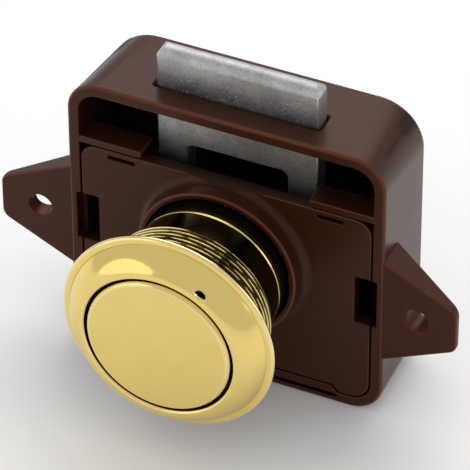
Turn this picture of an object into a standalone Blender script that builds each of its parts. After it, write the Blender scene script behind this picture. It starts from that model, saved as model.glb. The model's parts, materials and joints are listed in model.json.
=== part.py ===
"""Push-button cabinet latch: a moulded case with screw ears, a bolt that stands out of its top,
and a button on a plunger that passes through a threaded ring set in the door.

Frame: the button's axis is the Y axis, and the latch lies against the door at y = 0. The button
points to -Y, the bolt comes out towards +Z, and the ears reach out along X. Lengths are in metres.
"""

import math

import bmesh
import bpy

MM = 0.001

# Case
case_width = 53.2 * MM
case_above_axis = 25.3 * MM
case_below_axis = 24.0 * MM
case_depth = 17.0 * MM
case_wall = 1.9 * MM
case_corner_radius = 5.4 * MM
case_back_corner_radius = 7.6 * MM
case_back_edge_radius = 1.2 * MM
case_draft = 0.4 * MM

# Ears
ear_span = 77.4 * MM
ear_root_half_height = 9.6 * MM
ear_tip_half_height = 3.85 * MM
ear_tip_radius = 1.9 * MM
ear_right_root_thickness = 6.0 * MM
ear_left_root_thickness = 4.4 * MM
ear_tip_thickness = 1.3 * MM
ear_left_drop = 1.4 * MM
ear_right_drop = 3.05 * MM
ear_hole_place_share = 0.438
ear_hole_radius = 2.0 * MM
ear_hole_rise = 0.1 * MM

# Clearances
moulding_gap = 0.3 * MM
sliding_gap = 0.3 * MM
pressed_gap = 0.1 * MM
button_gap = 0.4 * MM
overrun = 0.6 * MM

# Button cap
knob_radius = 12.0 * MM
knob_wall = 1.25 * MM
knob_face_thickness = 1.6 * MM
knob_face_stand = 24.7 * MM
knob_rear_stand = 5.9 * MM
knob_edge_radius = 0.8 * MM
knob_travel = 8.5 * MM
knob_press = 1.8 * MM

# Ring in the door
ring_radius = 17.6 * MM
ring_edge_stand = 24.5 * MM
ring_back_stand = 20.0 * MM
ring_rim_thickness = 1.0 * MM
ring_rim_width = 1.1 * MM
ring_lip_width = 0.9 * MM
ring_dome_rise = 0.45 * MM
sleeve_length = 8.0 * MM
thread_root_wall = 0.85 * MM
thread_depth = 0.5 * MM
thread_pitch = 0.8 * MM
thread_relief_width = 0.8 * MM
thread_relief_depth = 0.15 * MM
key_hole_radius = 0.75 * MM
key_hole_depth = 1.5 * MM
key_hole_circle_radius = 14.1 * MM

# Shelf and front cover
shelf_height = 15.0 * MM
shelf_thickness = 1.2 * MM
shelf_depth = 4.5 * MM
cover_thickness = 2.2 * MM
cover_corner_radius = 2.6 * MM
sill_end_inset = 6.4 * MM
sill_slope = 1.1 * MM
sill_height = 1.2 * MM
collar_height = 3.5 * MM
collar_lip = 1.0 * MM
collar_lip_round = 0.4 * MM
collar_fillet = 1.5 * MM
snap_window_width = 2.7 * MM
snap_window_pocket = 0.7 * MM
snap_window_height = 9.0 * MM
snap_window_left_drop = 0.9 * MM
snap_window_right_drop = 2.1 * MM
snap_leg_height = 3.6 * MM
snap_leg_thickness = 1.6 * MM
snap_leg_reach = 7.2 * MM
snap_hook_reach = 2.0 * MM
snap_hook_length = 2.1 * MM
catch_rib_thickness = 1.8 * MM
catch_rib_reach = 2.3 * MM
tab_slot_length = 4.5 * MM
tab_slot_height = 0.7 * MM
tab_slot_place_share = 0.33
tab_leg_thickness = 0.7 * MM
tab_leg_width = 3.4 * MM
tab_hook_rise = 1.0 * MM
tab_hook_length = 1.4 * MM
cover_pad_width = 2.0 * MM

# Bolt
bolt_width = 27.0 * MM
bolt_thickness = 3.3 * MM
bolt_front = 4.75 * MM
bolt_stand = 6.7 * MM
bolt_foot = 14.4 * MM
bolt_end_round = 1.6 * MM
bolt_corner = 0.8 * MM
window_half_width = 8.4 * MM
window_top = 15.0 * MM
window_bottom = 12.0 * MM
window_corner_radius = 1.2 * MM
bolt_travel = 7.0 * MM
lug_thickness = 1.7 * MM
lug_half_height = 2.0 * MM
lug_reach = 4.7 * MM
pin_radius = 1.0 * MM
pin_height = 2.8 * MM
pin_stand_off = 1.7 * MM
pin_edge = 0.2 * MM

# Plunger
plunger_flange_radius = 11.85 * MM
plunger_flange_back = 2.3 * MM
plunger_half_width = 7.6 * MM
plunger_half_height = 7.4 * MM
plunger_back = 12.7 * MM
plunger_front_gap = 1.4 * MM
plunger_corner = 0.8 * MM
groove_depth = 1.9 * MM
groove_play = 0.25 * MM
snap_groove_stand = 14.0 * MM
snap_wire_radius = 0.5 * MM
snap_ring_depth = 0.65 * MM
snap_ring_play = 0.15 * MM

# Return spring
spring_wire_radius = 0.4 * MM
spring_mean_radius = 3.0 * MM
spring_bore_radius = 3.8 * MM
spring_pocket_stand = 17.5 * MM
spring_post_radius = 2.0 * MM
spring_post_length = 5.5 * MM
spring_end_pitch = 1.35 * MM
spring_seat_gap = 0.2 * MM

# Catch wire, its leaf spring and its boss
wire_radius = 0.55 * MM
wire_tip_stand = 1.2 * MM
wire_pivot_inset = 2.0 * MM
wire_drop = 1.5 * MM
wire_tip_rise = 2.9 * MM
wire_leg_length = 4.0 * MM
wire_bend_radius = 1.1 * MM
wire_side_travel = 1.8 * MM
track_depth = 2.0 * MM
track_play = 0.35 * MM
track_loop_reach = 2.4 * MM
boss_half_width = 3.0 * MM
boss_screw_side = 2.0 * MM
boss_height = 5.0 * MM
boss_length = 4.2 * MM
leaf_thickness = 0.3 * MM
leaf_drop = 1.5 * MM
leaf_half_width = 1.5 * MM
leaf_tongue_length = 2.2 * MM
screw_radius = 0.8 * MM
screw_head_radius = 1.4 * MM
screw_head_height = 0.8 * MM
screw_length = 3.2 * MM
screw_slot_width = 0.35 * MM
rail_width = 2.0 * MM
rail_height = 12.0 * MM
guide_width = 1.5 * MM

# Counts
large_segments = 56
small_segments = 20
case_corner_points = 7
corner_points = 6
edge_points = 5
small_corner_points = 4
plunger_corner_points = 3
nose_points = 9
thread_rows_per_pitch = 4
spring_turns = 13
points_per_turn = 9
self_gap_skip_share = 0.5
smooth_angle = math.radians(32)
flat_angle = math.radians(0.5)
merge_distance = 0.01 * MM

# Places worked out from the sizes above
case_half = case_width / 2
inner_half = case_half - case_wall
inner_top = case_above_axis - case_wall
inner_bottom = case_below_axis - case_wall
inner_back = case_depth - case_wall
bolt_back = bolt_front + bolt_thickness
bolt_half = bolt_width / 2
channel_half = bolt_half + sliding_gap
bore_radius = knob_radius + button_gap
shelf_bottom = shelf_height - shelf_thickness
cover_half = inner_half - moulding_gap
cover_top = shelf_bottom - moulding_gap
sill_half_width = cover_half - sill_end_inset
snap_window_inner = cover_half - snap_window_width
shelf_inner = channel_half + moulding_gap
tab_slot_middle = shelf_inner + (cover_half - shelf_inner) * tab_slot_place_share
ear_hole_reach = case_half + (ear_span / 2 - case_half) * ear_hole_place_share
wire_pivot_depth = inner_back - wire_pivot_inset
rail_inner = plunger_half_width + sliding_gap
rail_front = bolt_back + sliding_gap
pin_depth = bolt_front - lug_reach + pin_stand_off
spigot_radius = knob_radius - knob_wall - sliding_gap
wire_height = -(plunger_half_height + wire_drop)
boss_top = wire_height - wire_radius - leaf_drop
wire_arm = wire_pivot_depth - wire_tip_stand
retract_per_travel = bolt_travel / knob_travel


def clear_scene():
    for item in list(bpy.data.objects):
        bpy.data.objects.remove(item, do_unlink=True)


def make_material(name, colour, roughness, metallic):
    """A Principled material in the colour that the piece has."""
    material = bpy.data.materials.new(name)
    material.use_nodes = True
    shader = material.node_tree.nodes["Principled BSDF"]
    shader.inputs["Base Color"].default_value = (*colour, 1.0)
    shader.inputs["Roughness"].default_value = roughness
    shader.inputs["Metallic"].default_value = metallic
    material.diffuse_color = (*colour, 1.0)
    return material


def finish_mesh(name, mesh, material=None, origin=(0, 0, 0)):
    """Turns faces outwards, shades round surfaces smooth and places the object at its own origin."""
    work = bmesh.new()
    work.from_mesh(mesh)
    bmesh.ops.recalc_face_normals(work, faces=work.faces)
    bmesh.ops.translate(work, vec=[-value for value in origin], verts=work.verts)
    work.to_mesh(mesh)
    work.free()
    mesh.shade_smooth()
    mesh.set_sharp_from_angle(angle=smooth_angle)
    flatten_faces(mesh)
    item = bpy.data.objects.new(name, mesh)
    item.location = origin
    bpy.context.scene.collection.objects.link(item)
    if material:
        mesh.materials.append(material)
    return item


def flatten_faces(mesh):
    """Shades flat each face that meets none of its neighbours smoothly, as the ends of a block."""
    work = bmesh.new()
    work.from_mesh(mesh)
    for face in work.faces:
        face.smooth = any(
            flat_angle < edge.calc_face_angle(math.pi) < smooth_angle for edge in face.edges
        )
    work.to_mesh(mesh)
    work.free()


def loft(name, rings, material=None, origin=(0, 0, 0)):
    """A closed solid through rings of points, with a flat face over its first and last ring."""
    count = len(rings[0])
    points = [point for ring in rings for point in ring]
    faces = [tuple(range(count))]
    for row in range(len(rings) - 1):
        low, high = row * count, (row + 1) * count
        for side in range(count):
            after = (side + 1) % count
            faces.append((low + side, low + after, high + after, high + side))
    faces.append(tuple(range(len(points) - count, len(points))))
    mesh = bpy.data.meshes.new(name)
    mesh.from_pydata(points, [], faces)
    return finish_mesh(name, mesh, material, origin)


def plate(name, outline, front, back, material=None, origin=(0, 0, 0)):
    """An outline of (x, z) points, between y = front and y = back; back may depend on x."""
    depth = back if callable(back) else (lambda x: back)
    rings = [
        [(x, front, z) for x, z in outline],
        [(x, depth(x), z) for x, z in outline],
    ]
    return loft(name, rings, material, origin)


def bar(name, outline, left, right):
    """An outline of (y, z) points, between x = left and x = right."""
    return loft(name, [[(x, y, z) for y, z in outline] for x in (left, right)])


def slab(name, outline, bottom, top):
    """An outline of (x, y) points, between z = bottom and z = top."""
    return loft(name, [[(x, y, z) for x, y in outline] for z in (bottom, top)])


def block(name, low, high):
    corners = [(low[0], low[2]), (high[0], low[2]), (high[0], high[2]), (low[0], high[2])]
    return plate(name, corners, low[1], high[1])


def rod(name, centre, radius, start, end, axis="Y", segments=small_segments):
    """A round bar; centre holds its other two coordinates, in X, Y, Z order."""
    ring = [
        (radius * math.cos(turn), radius * math.sin(turn))
        for turn in (math.tau * step / segments for step in range(segments))
    ]
    place = {
        "X": lambda a, b, along: (along, centre[0] + a, centre[1] + b),
        "Y": lambda a, b, along: (centre[0] + a, along, centre[1] + b),
        "Z": lambda a, b, along: (centre[0] + a, centre[1] + b, along),
    }[axis]
    return loft(name, [[place(a, b, along) for a, b in ring] for along in (start, end)])


def turned(name, profile, material=None, segments=large_segments, swell=None):
    """A profile of (radius, y) points turned about the Y axis. It is a closed loop, or it starts
    and ends on the axis. Swell gives the thread's height at an angle and a depth."""
    points, rings, faces = [], [], []
    for radius, depth in profile:
        if radius == 0:
            rings.append([len(points)] * segments)
            points.append((0, depth, 0))
            continue
        rings.append(list(range(len(points), len(points) + segments)))
        for step in range(segments):
            turn = math.tau * step / segments
            reach = radius + (swell(turn, radius, depth) if swell else 0)
            points.append((reach * math.cos(turn), depth, reach * math.sin(turn)))
    closed = profile[0][0] != 0
    for row in range(len(rings) - (0 if closed else 1)):
        near, far = rings[row], rings[(row + 1) % len(rings)]
        for step in range(segments):
            after = (step + 1) % segments
            corners = [near[step], near[after], far[after], far[step]]
            faces.append(tuple(dict.fromkeys(corners)))
    mesh = bpy.data.meshes.new(name)
    mesh.from_pydata(points, [], faces)
    return finish_mesh(name, mesh, material)


def wire(name, route, radius, material, origin=(0, 0, 0), resolution=2, closed=False):
    """A round wire along its route's points."""
    curve = bpy.data.curves.new(name, "CURVE")
    curve.dimensions = "3D"
    curve.bevel_depth = radius
    curve.bevel_resolution = resolution
    curve.use_fill_caps = True
    spline = curve.splines.new("POLY")
    spline.points.add(len(route) - 1)
    for point, place in zip(spline.points, route):
        point.co = (*[value - start for value, start in zip(place, origin)], 1.0)
    spline.use_cyclic_u = closed
    spline.use_smooth = True
    item = bpy.data.objects.new(name, curve)
    item.location = origin
    bpy.context.scene.collection.objects.link(item)
    curve.materials.append(material)
    return item


def arc(centre, radius, start, end, points=corner_points):
    """Points of an arc between two angles in degrees."""
    steps = [start + (end - start) * step / (points - 1) for step in range(points)]
    return [
        (
            centre[0] + radius * math.cos(math.radians(angle)),
            centre[1] + radius * math.sin(math.radians(angle)),
        )
        for angle in steps
    ]


def rounded_rectangle(left, right, bottom, top, radius, points=corner_points):
    return (
        arc((right - radius, top - radius), radius, 0, 90, points)
        + arc((left + radius, top - radius), radius, 90, 180, points)
        + arc((left + radius, bottom + radius), radius, 180, 270, points)
        + arc((right - radius, bottom + radius), radius, 270, 360, points)
    )


def capsule(start, end, radius, points=corner_points):
    """The outline of a slot with round ends between two centres."""
    heading = math.degrees(math.atan2(end[1] - start[1], end[0] - start[0]))
    return arc(end, radius, heading - 90, heading + 90, points) + arc(
        start, radius, heading + 90, heading + 270, points
    )


def round_corners(corners, points=corner_points):
    """An outline through (x, z, radius) corners, each rounded where its radius isn't zero."""
    outline = []
    for index, (x, z, radius) in enumerate(corners):
        if radius == 0:
            outline.append((x, z))
            continue
        before, after = corners[index - 1], corners[(index + 1) % len(corners)]
        first = unit(before[0] - x, before[1] - z)
        second = unit(after[0] - x, after[1] - z)
        half = math.acos(first[0] * second[0] + first[1] * second[1]) / 2
        bisector = unit(first[0] + second[0], first[1] + second[1])
        centre = (
            x + bisector[0] * radius / math.sin(half),
            z + bisector[1] * radius / math.sin(half),
        )
        reach = radius / math.tan(half)
        start = math.atan2(z + first[1] * reach - centre[1], x + first[0] * reach - centre[0])
        end = math.atan2(z + second[1] * reach - centre[1], x + second[0] * reach - centre[0])
        sweep = (end - start + math.pi) % math.tau - math.pi
        outline += arc(centre, radius, math.degrees(start), math.degrees(start + sweep), points)
    return outline


def unit(a, b):
    length = math.hypot(a, b)
    return a / length, b / length


def combine(target, tools, operation):
    """Adds tools to the target, or cuts them from it, and keeps them as hidden guides."""
    bpy.context.view_layer.update()
    for tool in tools:
        change = target.modifiers.new(tool.name, "BOOLEAN")
        change.operation = operation
        change.object = tool
        tool.hide_render = True
        tool.display_type = "WIRE"
        tool.parent = target
        tool.matrix_parent_inverse = target.matrix_world.inverted()
    return target


def add(target, *tools):
    return combine(target, tools, "UNION")


def cut(target, *tools):
    return combine(target, tools, "DIFFERENCE")


def merge_close_points(target):
    """Merges points that cuts leave almost on each other, so that no sliver opens the solid."""
    change = target.modifiers.new("merge_close_points", "WELD")
    change.merge_threshold = merge_distance


def both_sides(make):
    """Makes a guide on the right and its mirror image on the left: make takes the side's sign."""
    return [make(1), make(-1)]


def spread(side, near, far):
    """The low and high x of a span that lies between two distances from the middle."""
    return (near, far) if side > 0 else (-far, -near)


def side_block(name, side, near, far, front, back, bottom, top):
    left, right = spread(side, near, far)
    return block(f"{name}_{'right' if side > 0 else 'left'}", (left, front, bottom), (right, back, top))


def make_ear(side, drop):
    """A tapered screw ear, flush with the case's front and thinner towards its tip."""
    root, tip = case_half - case_wall / 2, ear_span / 2
    slope = (ear_root_half_height - ear_tip_half_height) / (tip - case_half)
    root_half = ear_root_half_height + slope * (case_half - root)
    corners = [
        (side * root, -drop - root_half, 0),
        (side * tip, -drop - ear_tip_half_height, ear_tip_radius),
        (side * tip, -drop + ear_tip_half_height, ear_tip_radius),
        (side * root, -drop + root_half, 0),
    ]
    thick = ear_right_root_thickness if side > 0 else ear_left_root_thickness
    thinning = (thick - ear_tip_thickness) / (tip - case_half)

    def back(x):
        return thick - thinning * (abs(x) - case_half)

    name = "ear_right" if side > 0 else "ear_left"
    return plate(name, round_corners(corners), 0, back)


def case_ring(shrink, depth, radius):
    """The case's outline at a depth; its upper corners are rounder towards the back."""
    corners = [
        (case_half - shrink, case_above_axis - shrink, radius),
        (-case_half + shrink, case_above_axis - shrink, radius),
        (-case_half + shrink, -case_below_axis + shrink, case_corner_radius - shrink),
        (case_half - shrink, -case_below_axis + shrink, case_corner_radius - shrink),
    ]
    return [(x, depth, z) for x, z in round_corners(corners, case_corner_points)]


def case_rings():
    """Rings of the case's outside, from its front to its rounded back edge."""
    rings = [case_ring(0, 0, case_corner_radius)]
    for angle in range(0, 91, 30):
        turn = math.radians(angle)
        shrink = case_back_edge_radius * (1 - math.cos(turn))
        depth = case_depth - case_back_edge_radius * (1 - math.sin(turn))
        rings.append(case_ring(case_draft + shrink, depth, case_back_corner_radius - shrink))
    return rings


def make_case(material):
    case = loft("case_shell", case_rings(), material)
    cavity = plate(
        "case_cavity",
        rounded_rectangle(
            -inner_half,
            inner_half,
            -inner_bottom,
            inner_top,
            case_corner_radius - case_wall,
        ),
        -overrun,
        inner_back,
    )
    cut(case, cavity)
    into_wall = case_wall / 2
    guide_top = shelf_bottom - cover_thickness
    ribs = []
    ribs += both_sides(lambda side: side_block(
        "shelf", side, shelf_inner, inner_half + into_wall,
        0, shelf_depth, shelf_bottom, shelf_height,
    ))
    ribs += both_sides(lambda side: side_block(
        "bolt_guide", side, channel_half, channel_half + guide_width,
        bolt_front, inner_back + into_wall, -inner_bottom - into_wall, guide_top,
    ))
    ribs += both_sides(lambda side: side_block(
        "rear_rail", side, rail_inner, rail_inner + rail_width,
        rail_front, inner_back + into_wall, -inner_bottom - into_wall, rail_height,
    ))
    rib_back = snap_leg_reach - moulding_gap
    ribs += both_sides(lambda side: side_block(
        "catch_rib", side, inner_half - catch_rib_reach, inner_half + into_wall,
        rib_back - catch_rib_thickness, rib_back,
        window_height(side) - snap_leg_height, window_height(side),
    ))
    sill_top = -inner_bottom + sill_height
    ribs.append(plate(
        "cover_sill",
        [
            (-sill_half_width - sill_slope, -inner_bottom - into_wall),
            (sill_half_width + sill_slope, -inner_bottom - into_wall),
            (sill_half_width + sill_slope, -inner_bottom),
            (sill_half_width, sill_top),
            (-sill_half_width, sill_top),
            (-sill_half_width - sill_slope, -inner_bottom),
        ],
        0,
        cover_thickness + moulding_gap,
    ))
    ribs.append(rod(
        "spring_post", (0, 0), spring_post_radius,
        inner_back - spring_post_length, inner_back + into_wall,
    ))
    ribs.append(block(
        "catch_boss",
        (-boss_half_width, inner_back - boss_length, boss_top - boss_height),
        (boss_half_width + boss_screw_side, inner_back + into_wall, boss_top),
    ))
    add(case, *ribs)
    add(case, make_ear(1, ear_right_drop), make_ear(-1, ear_left_drop))
    cut(
        case,
        rod(
            "ear_hole_right", (ear_hole_reach, ear_hole_rise - ear_right_drop),
            ear_hole_radius, -overrun, ear_right_root_thickness + overrun,
        ),
        rod(
            "ear_hole_left", (-ear_hole_reach, ear_hole_rise - ear_left_drop),
            ear_hole_radius, -overrun, ear_left_root_thickness + overrun,
        ),
        block(
            "bolt_slot",
            (-channel_half, bolt_front - sliding_gap, inner_top - overrun),
            (channel_half, bolt_back + sliding_gap, case_above_axis + overrun),
        ),
        rod(
            "wire_hole", (0, wire_pivot_depth), wire_radius + pressed_gap,
            boss_top - wire_leg_length, boss_top + overrun, "Z",
        ),
        rod(
            "leaf_screw_hole", screw_place(), screw_radius + pressed_gap,
            boss_top - screw_length - sliding_gap, boss_top + overrun, "Z",
        ),
        *both_sides(lambda side: side_block(
            "rim_pocket", side, inner_half - overrun, inner_half + snap_window_pocket,
            -overrun, cover_thickness,
            window_height(side) - snap_window_height, window_height(side),
        )),
    )
    merge_close_points(case)
    return case


def window_height(side):
    """The height of the top of a snap window, which sits a little higher on the left."""
    drop = snap_window_right_drop if side > 0 else snap_window_left_drop
    return snap_window_height / 2 - drop


def screw_place():
    """Where the leaf spring's screw stands, as (x, y)."""
    return boss_half_width + boss_screw_side - screw_head_radius - pressed_gap, wire_pivot_depth


def cover_outline():
    bottom = -inner_bottom + moulding_gap
    sill = bottom + sill_height
    corner = case_corner_radius - case_wall - moulding_gap
    step = sill_half_width + moulding_gap
    return round_corners([
        (cover_half, bottom, corner),
        (cover_half, cover_top, cover_corner_radius),
        (-cover_half, cover_top, cover_corner_radius),
        (-cover_half, bottom, corner),
        (-step - sill_slope, bottom, 0),
        (-step, sill, 0),
        (step, sill, 0),
        (step + sill_slope, bottom, 0),
    ])


def make_snap_leg(side):
    """A springy leg behind the cover, with a slanted hook that grips the case's rib."""
    outer = snap_window_inner - pressed_gap
    inner = outer - snap_leg_thickness
    end = snap_leg_reach + snap_hook_length
    top = window_height(side)
    outline = [
        (side * inner, cover_thickness / 2),
        (side * outer, cover_thickness / 2),
        (side * outer, snap_leg_reach),
        (side * (outer + snap_hook_reach), snap_leg_reach),
        (side * outer, end),
        (side * inner, end),
    ]
    name = "snap_leg_right" if side > 0 else "snap_leg_left"
    return slab(name, outline, top - snap_leg_height, top)


def make_tab_leg(side):
    """A thin tab behind the cover's top edge that hooks up behind the case's shelf."""
    front = shelf_depth + moulding_gap
    back = front + tab_hook_length
    outline = [
        (cover_thickness / 2, cover_top - tab_leg_thickness - pressed_gap),
        (back, cover_top - tab_leg_thickness - pressed_gap),
        (back, cover_top),
        (front, cover_top + tab_hook_rise),
        (front, cover_top - pressed_gap),
        (cover_thickness / 2, cover_top - pressed_gap),
    ]
    ends = spread(side, tab_slot_middle - tab_leg_width / 2, tab_slot_middle + tab_leg_width / 2)
    return bar("tab_leg_right" if side > 0 else "tab_leg_left", outline, *ends)


def make_cover(material):
    cover = plate("front_cover", cover_outline(), 0, cover_thickness, material)
    lip = bore_radius + collar_lip
    fillet = arc((lip + collar_fillet, -collar_fillet), collar_fillet, 180, 90)
    rounding = arc(
        (lip - collar_lip_round, -collar_height + collar_lip_round), collar_lip_round, -90, 0,
        small_corner_points,
    )
    inside = bore_radius - overrun
    collar = turned(
        "collar",
        [(inside, -collar_height)] + rounding + fillet
        + [(lip + collar_fillet, cover_thickness / 2), (inside, cover_thickness / 2)],
    )
    legs = both_sides(make_snap_leg)
    tabs = both_sides(make_tab_leg)
    pad_inner = window_half_width + lug_thickness + 4 * sliding_gap
    pads = both_sides(lambda side: side_block(
        "bolt_pad", side, pad_inner, pad_inner + cover_pad_width,
        cover_thickness / 2, bolt_front - sliding_gap, -window_bottom, cover_top - cover_thickness,
    ))
    foot = lip + collar_fillet
    trim = block(
        "collar_trim", (-foot, -collar_height - overrun, cover_top),
        (foot, cover_thickness + overrun, foot + overrun),
    )
    cut(collar, trim)
    add(cover, collar, *legs, *tabs, *pads)
    slot_top = cover_top - tab_leg_thickness - 2 * pressed_gap
    cut(
        cover,
        rod(
            "collar_bore", (0, 0), bore_radius,
            -collar_height - overrun, cover_thickness + overrun / 2, "Y", large_segments,
        ),
        *both_sides(lambda side: side_block(
            "snap_window", side, snap_window_inner, cover_half + overrun,
            -overrun, cover_thickness + overrun,
            window_height(side) - snap_window_height, window_height(side),
        )),
        *both_sides(lambda side: side_block(
            "tab_slot", side,
            tab_slot_middle - tab_slot_length / 2, tab_slot_middle + tab_slot_length / 2,
            -overrun, cover_thickness + overrun, slot_top - tab_slot_height, slot_top,
        )),
    )
    return cover


def thread_height(turn, radius, depth):
    """The ridge of a fine helical thread, fading out at both ends of its stretch."""
    start, end = -ring_back_stand + thread_pitch / 2, -ring_back_stand + sleeve_length - thread_pitch / 2
    if radius != thread_root or not start < depth < end:
        return 0
    phase = (depth / thread_pitch + turn / math.tau) % 1
    ridge = 1 - abs(2 * phase - 1)
    fade = min(1, (depth - start) / thread_pitch, (end - depth) / thread_pitch)
    return thread_depth * ridge * fade


thread_root = bore_radius + thread_root_wall


def ring_front_profile():
    """The domed front of the ring, from the edge of its bore to its rim."""
    inner = (bore_radius + ring_lip_width / 3, -ring_edge_stand)
    lip = (bore_radius + ring_lip_width, -ring_edge_stand)
    rim = (ring_radius - ring_rim_width, -ring_back_stand - ring_rim_thickness)
    dome = []
    for step in range(1, corner_points):
        share = step / corner_points
        swell = ring_dome_rise * 4 * share * (1 - share)
        dome.append((
            lip[0] + (rim[0] - lip[0]) * share + swell * 0.5,
            lip[1] + (rim[1] - lip[1]) * share - swell,
        ))
    edge = arc(
        (ring_radius - ring_rim_thickness / 2, -ring_back_stand - ring_rim_thickness / 2),
        ring_rim_thickness / 2, -90, 90, corner_points,
    )
    return [inner, lip] + dome + [rim] + edge


def make_ring(material):
    end = -ring_back_stand + sleeve_length
    chamfer = thread_root_wall / 3
    threaded = sleeve_length - chamfer
    rows = round(threaded / thread_pitch * thread_rows_per_pitch)
    relief = thread_root + thread_relief_width
    thread = [(relief, -ring_back_stand), (relief, -ring_back_stand - thread_relief_depth)]
    thread.append((thread_root, -ring_back_stand - thread_relief_depth))
    thread += [
        (thread_root, -ring_back_stand + threaded * row / rows) for row in range(1, rows + 1)
    ]
    profile = (
        [(bore_radius, -ring_edge_stand + ring_lip_width / 3)]
        + ring_front_profile()
        + thread
        + [(thread_root - chamfer, end), (bore_radius, end)]
    )
    ring = turned("rosette", profile, material, swell=thread_height)
    angle = math.radians(60)
    place = (key_hole_circle_radius * math.cos(angle), key_hole_circle_radius * math.sin(angle))
    floor = -ring_edge_stand + ring_lip_width + key_hole_depth
    cut(ring, rod("key_hole", place, key_hole_radius, -ring_edge_stand - overrun, floor))
    return ring


def make_knob(material):
    inner = knob_radius - knob_wall
    edge = arc(
        (knob_radius - knob_edge_radius, -knob_face_stand + knob_edge_radius),
        knob_edge_radius, -90, 0, edge_points,
    )
    groove = snap_wire_radius + snap_ring_play
    groove_reach = inner + snap_ring_depth
    profile = (
        [(0, -knob_face_stand)]
        + edge
        + [
            (knob_radius, -knob_rear_stand),
            (inner, -knob_rear_stand),
            (inner, -snap_groove_stand + groove),
            (groove_reach, -snap_groove_stand + groove),
            (groove_reach, -snap_groove_stand - groove),
            (inner, -snap_groove_stand - groove),
            (inner, -knob_face_stand + knob_face_thickness),
            (0, -knob_face_stand + knob_face_thickness),
        ]
    )
    return turned("knob_cap", profile, material)


def snap_ring_radius():
    """The mean radius of the snap ring, which sits half in the cap and half in the plunger."""
    return knob_radius - knob_wall + snap_ring_depth - snap_ring_play - snap_wire_radius


def make_snap_ring(material):
    radius = snap_ring_radius()
    opening = math.radians(24)
    steps = large_segments // 2
    route = []
    for step in range(steps + 1):
        turn = opening + (math.tau - 2 * opening) * step / steps
        route.append((radius * math.cos(turn), -snap_groove_stand, radius * math.sin(turn)))
    return wire("knob_snap_ring", route, snap_wire_radius, material)


def groove_line():
    """The pins' path in the plunger at rest: (y, z) at its pressed end and at its pulled end."""
    pressed = (pin_depth - knob_press, pin_height + knob_press * retract_per_travel)
    pulled = (pin_depth + knob_travel, pin_height - bolt_travel)
    return pressed, pulled


def track_lanes():
    """The catch wire's lanes on the plunger's underside, as pairs of (x, y) centres."""
    side = wire_side_travel
    top = (-side * knob_press / knob_travel, wire_tip_stand - knob_press)
    low = (side, wire_tip_stand + knob_travel)
    shoulder = (side + track_loop_reach, wire_tip_stand + knob_travel / 4)
    bend = (side, wire_tip_stand - knob_press)
    return [(top, low), (low, shoulder), (shoulder, bend), (bend, top)]


def make_plunger(material):
    groove = snap_wire_radius + snap_ring_play
    groove_floor = snap_ring_radius() - snap_wire_radius - snap_ring_play
    flange_front = -knob_rear_stand + sliding_gap
    spigot_end = -knob_face_stand + knob_face_thickness + plunger_front_gap
    plunger = turned(
        "plunger",
        [
            (0, spigot_end),
            (spigot_radius - plunger_corner, spigot_end),
            (spigot_radius, spigot_end + plunger_corner),
            (spigot_radius, -snap_groove_stand - groove),
            (groove_floor, -snap_groove_stand - groove),
            (groove_floor, -snap_groove_stand + groove),
            (spigot_radius, -snap_groove_stand + groove),
            (spigot_radius, flange_front),
            (plunger_flange_radius, flange_front),
            (plunger_flange_radius, -plunger_flange_back),
            (0, -plunger_flange_back),
        ],
        material,
    )
    core = plate(
        "plunger_core",
        rounded_rectangle(
            -plunger_half_width, plunger_half_width,
            -plunger_half_height, plunger_half_height, plunger_corner, plunger_corner_points,
        ),
        -plunger_flange_back - overrun,
        plunger_back,
    )
    add(plunger, core)
    bore = rod(
        "spring_bore", (0, 0), spring_bore_radius, -spring_pocket_stand, plunger_back + overrun
    )
    pressed, pulled = groove_line()
    slot = capsule(pressed, pulled, pin_radius + groove_play)
    grooves = [
        bar(
            f"drive_groove_{'right' if side > 0 else 'left'}", slot,
            *spread(side, plunger_half_width - groove_depth, plunger_half_width + overrun),
        )
        for side in (1, -1)
    ]
    floor = -plunger_half_height - overrun
    lanes = [
        loft(
            f"heart_lane_{number}",
            [
                [(x, y, z) for x, y in capsule(start, end, wire_radius + track_play)]
                for z in (floor, -plunger_half_height + track_depth)
            ],
        )
        for number, (start, end) in enumerate(track_lanes(), 1)
    ]
    cut(plunger, bore, *grooves, *lanes)
    return plunger


def spring_route():
    """The coil's points: a close turn at each end and an even pitch between them."""
    start = -spring_pocket_stand + spring_wire_radius + spring_seat_gap
    end = inner_back - spring_wire_radius - spring_seat_gap
    free = end - start - 2 * spring_end_pitch
    pitch = free / (spring_turns - 2)
    route = []
    for step in range(spring_turns * points_per_turn + 1):
        turns = step / points_per_turn
        close_in = min(turns, 1)
        close_out = max(turns - (spring_turns - 1), 0)
        even = turns - close_in - close_out
        depth = start + (close_in + close_out) * spring_end_pitch + even * pitch
        turn = math.tau * turns
        route.append((
            spring_mean_radius * math.cos(turn), depth, spring_mean_radius * math.sin(turn)
        ))
    return route


def least_self_gap(route, radius):
    """The least clear distance between turns, measured on the coil's points."""
    skip = round(points_per_turn * self_gap_skip_share)
    least = min(
        math.dist(first, second)
        for index, first in enumerate(route)
        for second in route[index + skip:]
    )
    return least - 2 * radius


def make_return_spring(material):
    route = spring_route()
    gap = least_self_gap(route, spring_wire_radius)
    print(f"return_spring: least gap to itself {gap / MM:.2f} mm")
    return wire("return_spring", route, spring_wire_radius, material, resolution=1)


def bolt_section():
    """The bolt's side view as (y, z) points: a plate with a round nose."""
    nose = bolt_thickness / 2
    top = case_above_axis + bolt_stand
    return arc((bolt_front + nose, top - nose), nose, 0, 180, nose_points) + [
        (bolt_front, -bolt_foot),
        (bolt_back, -bolt_foot),
    ]


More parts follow.
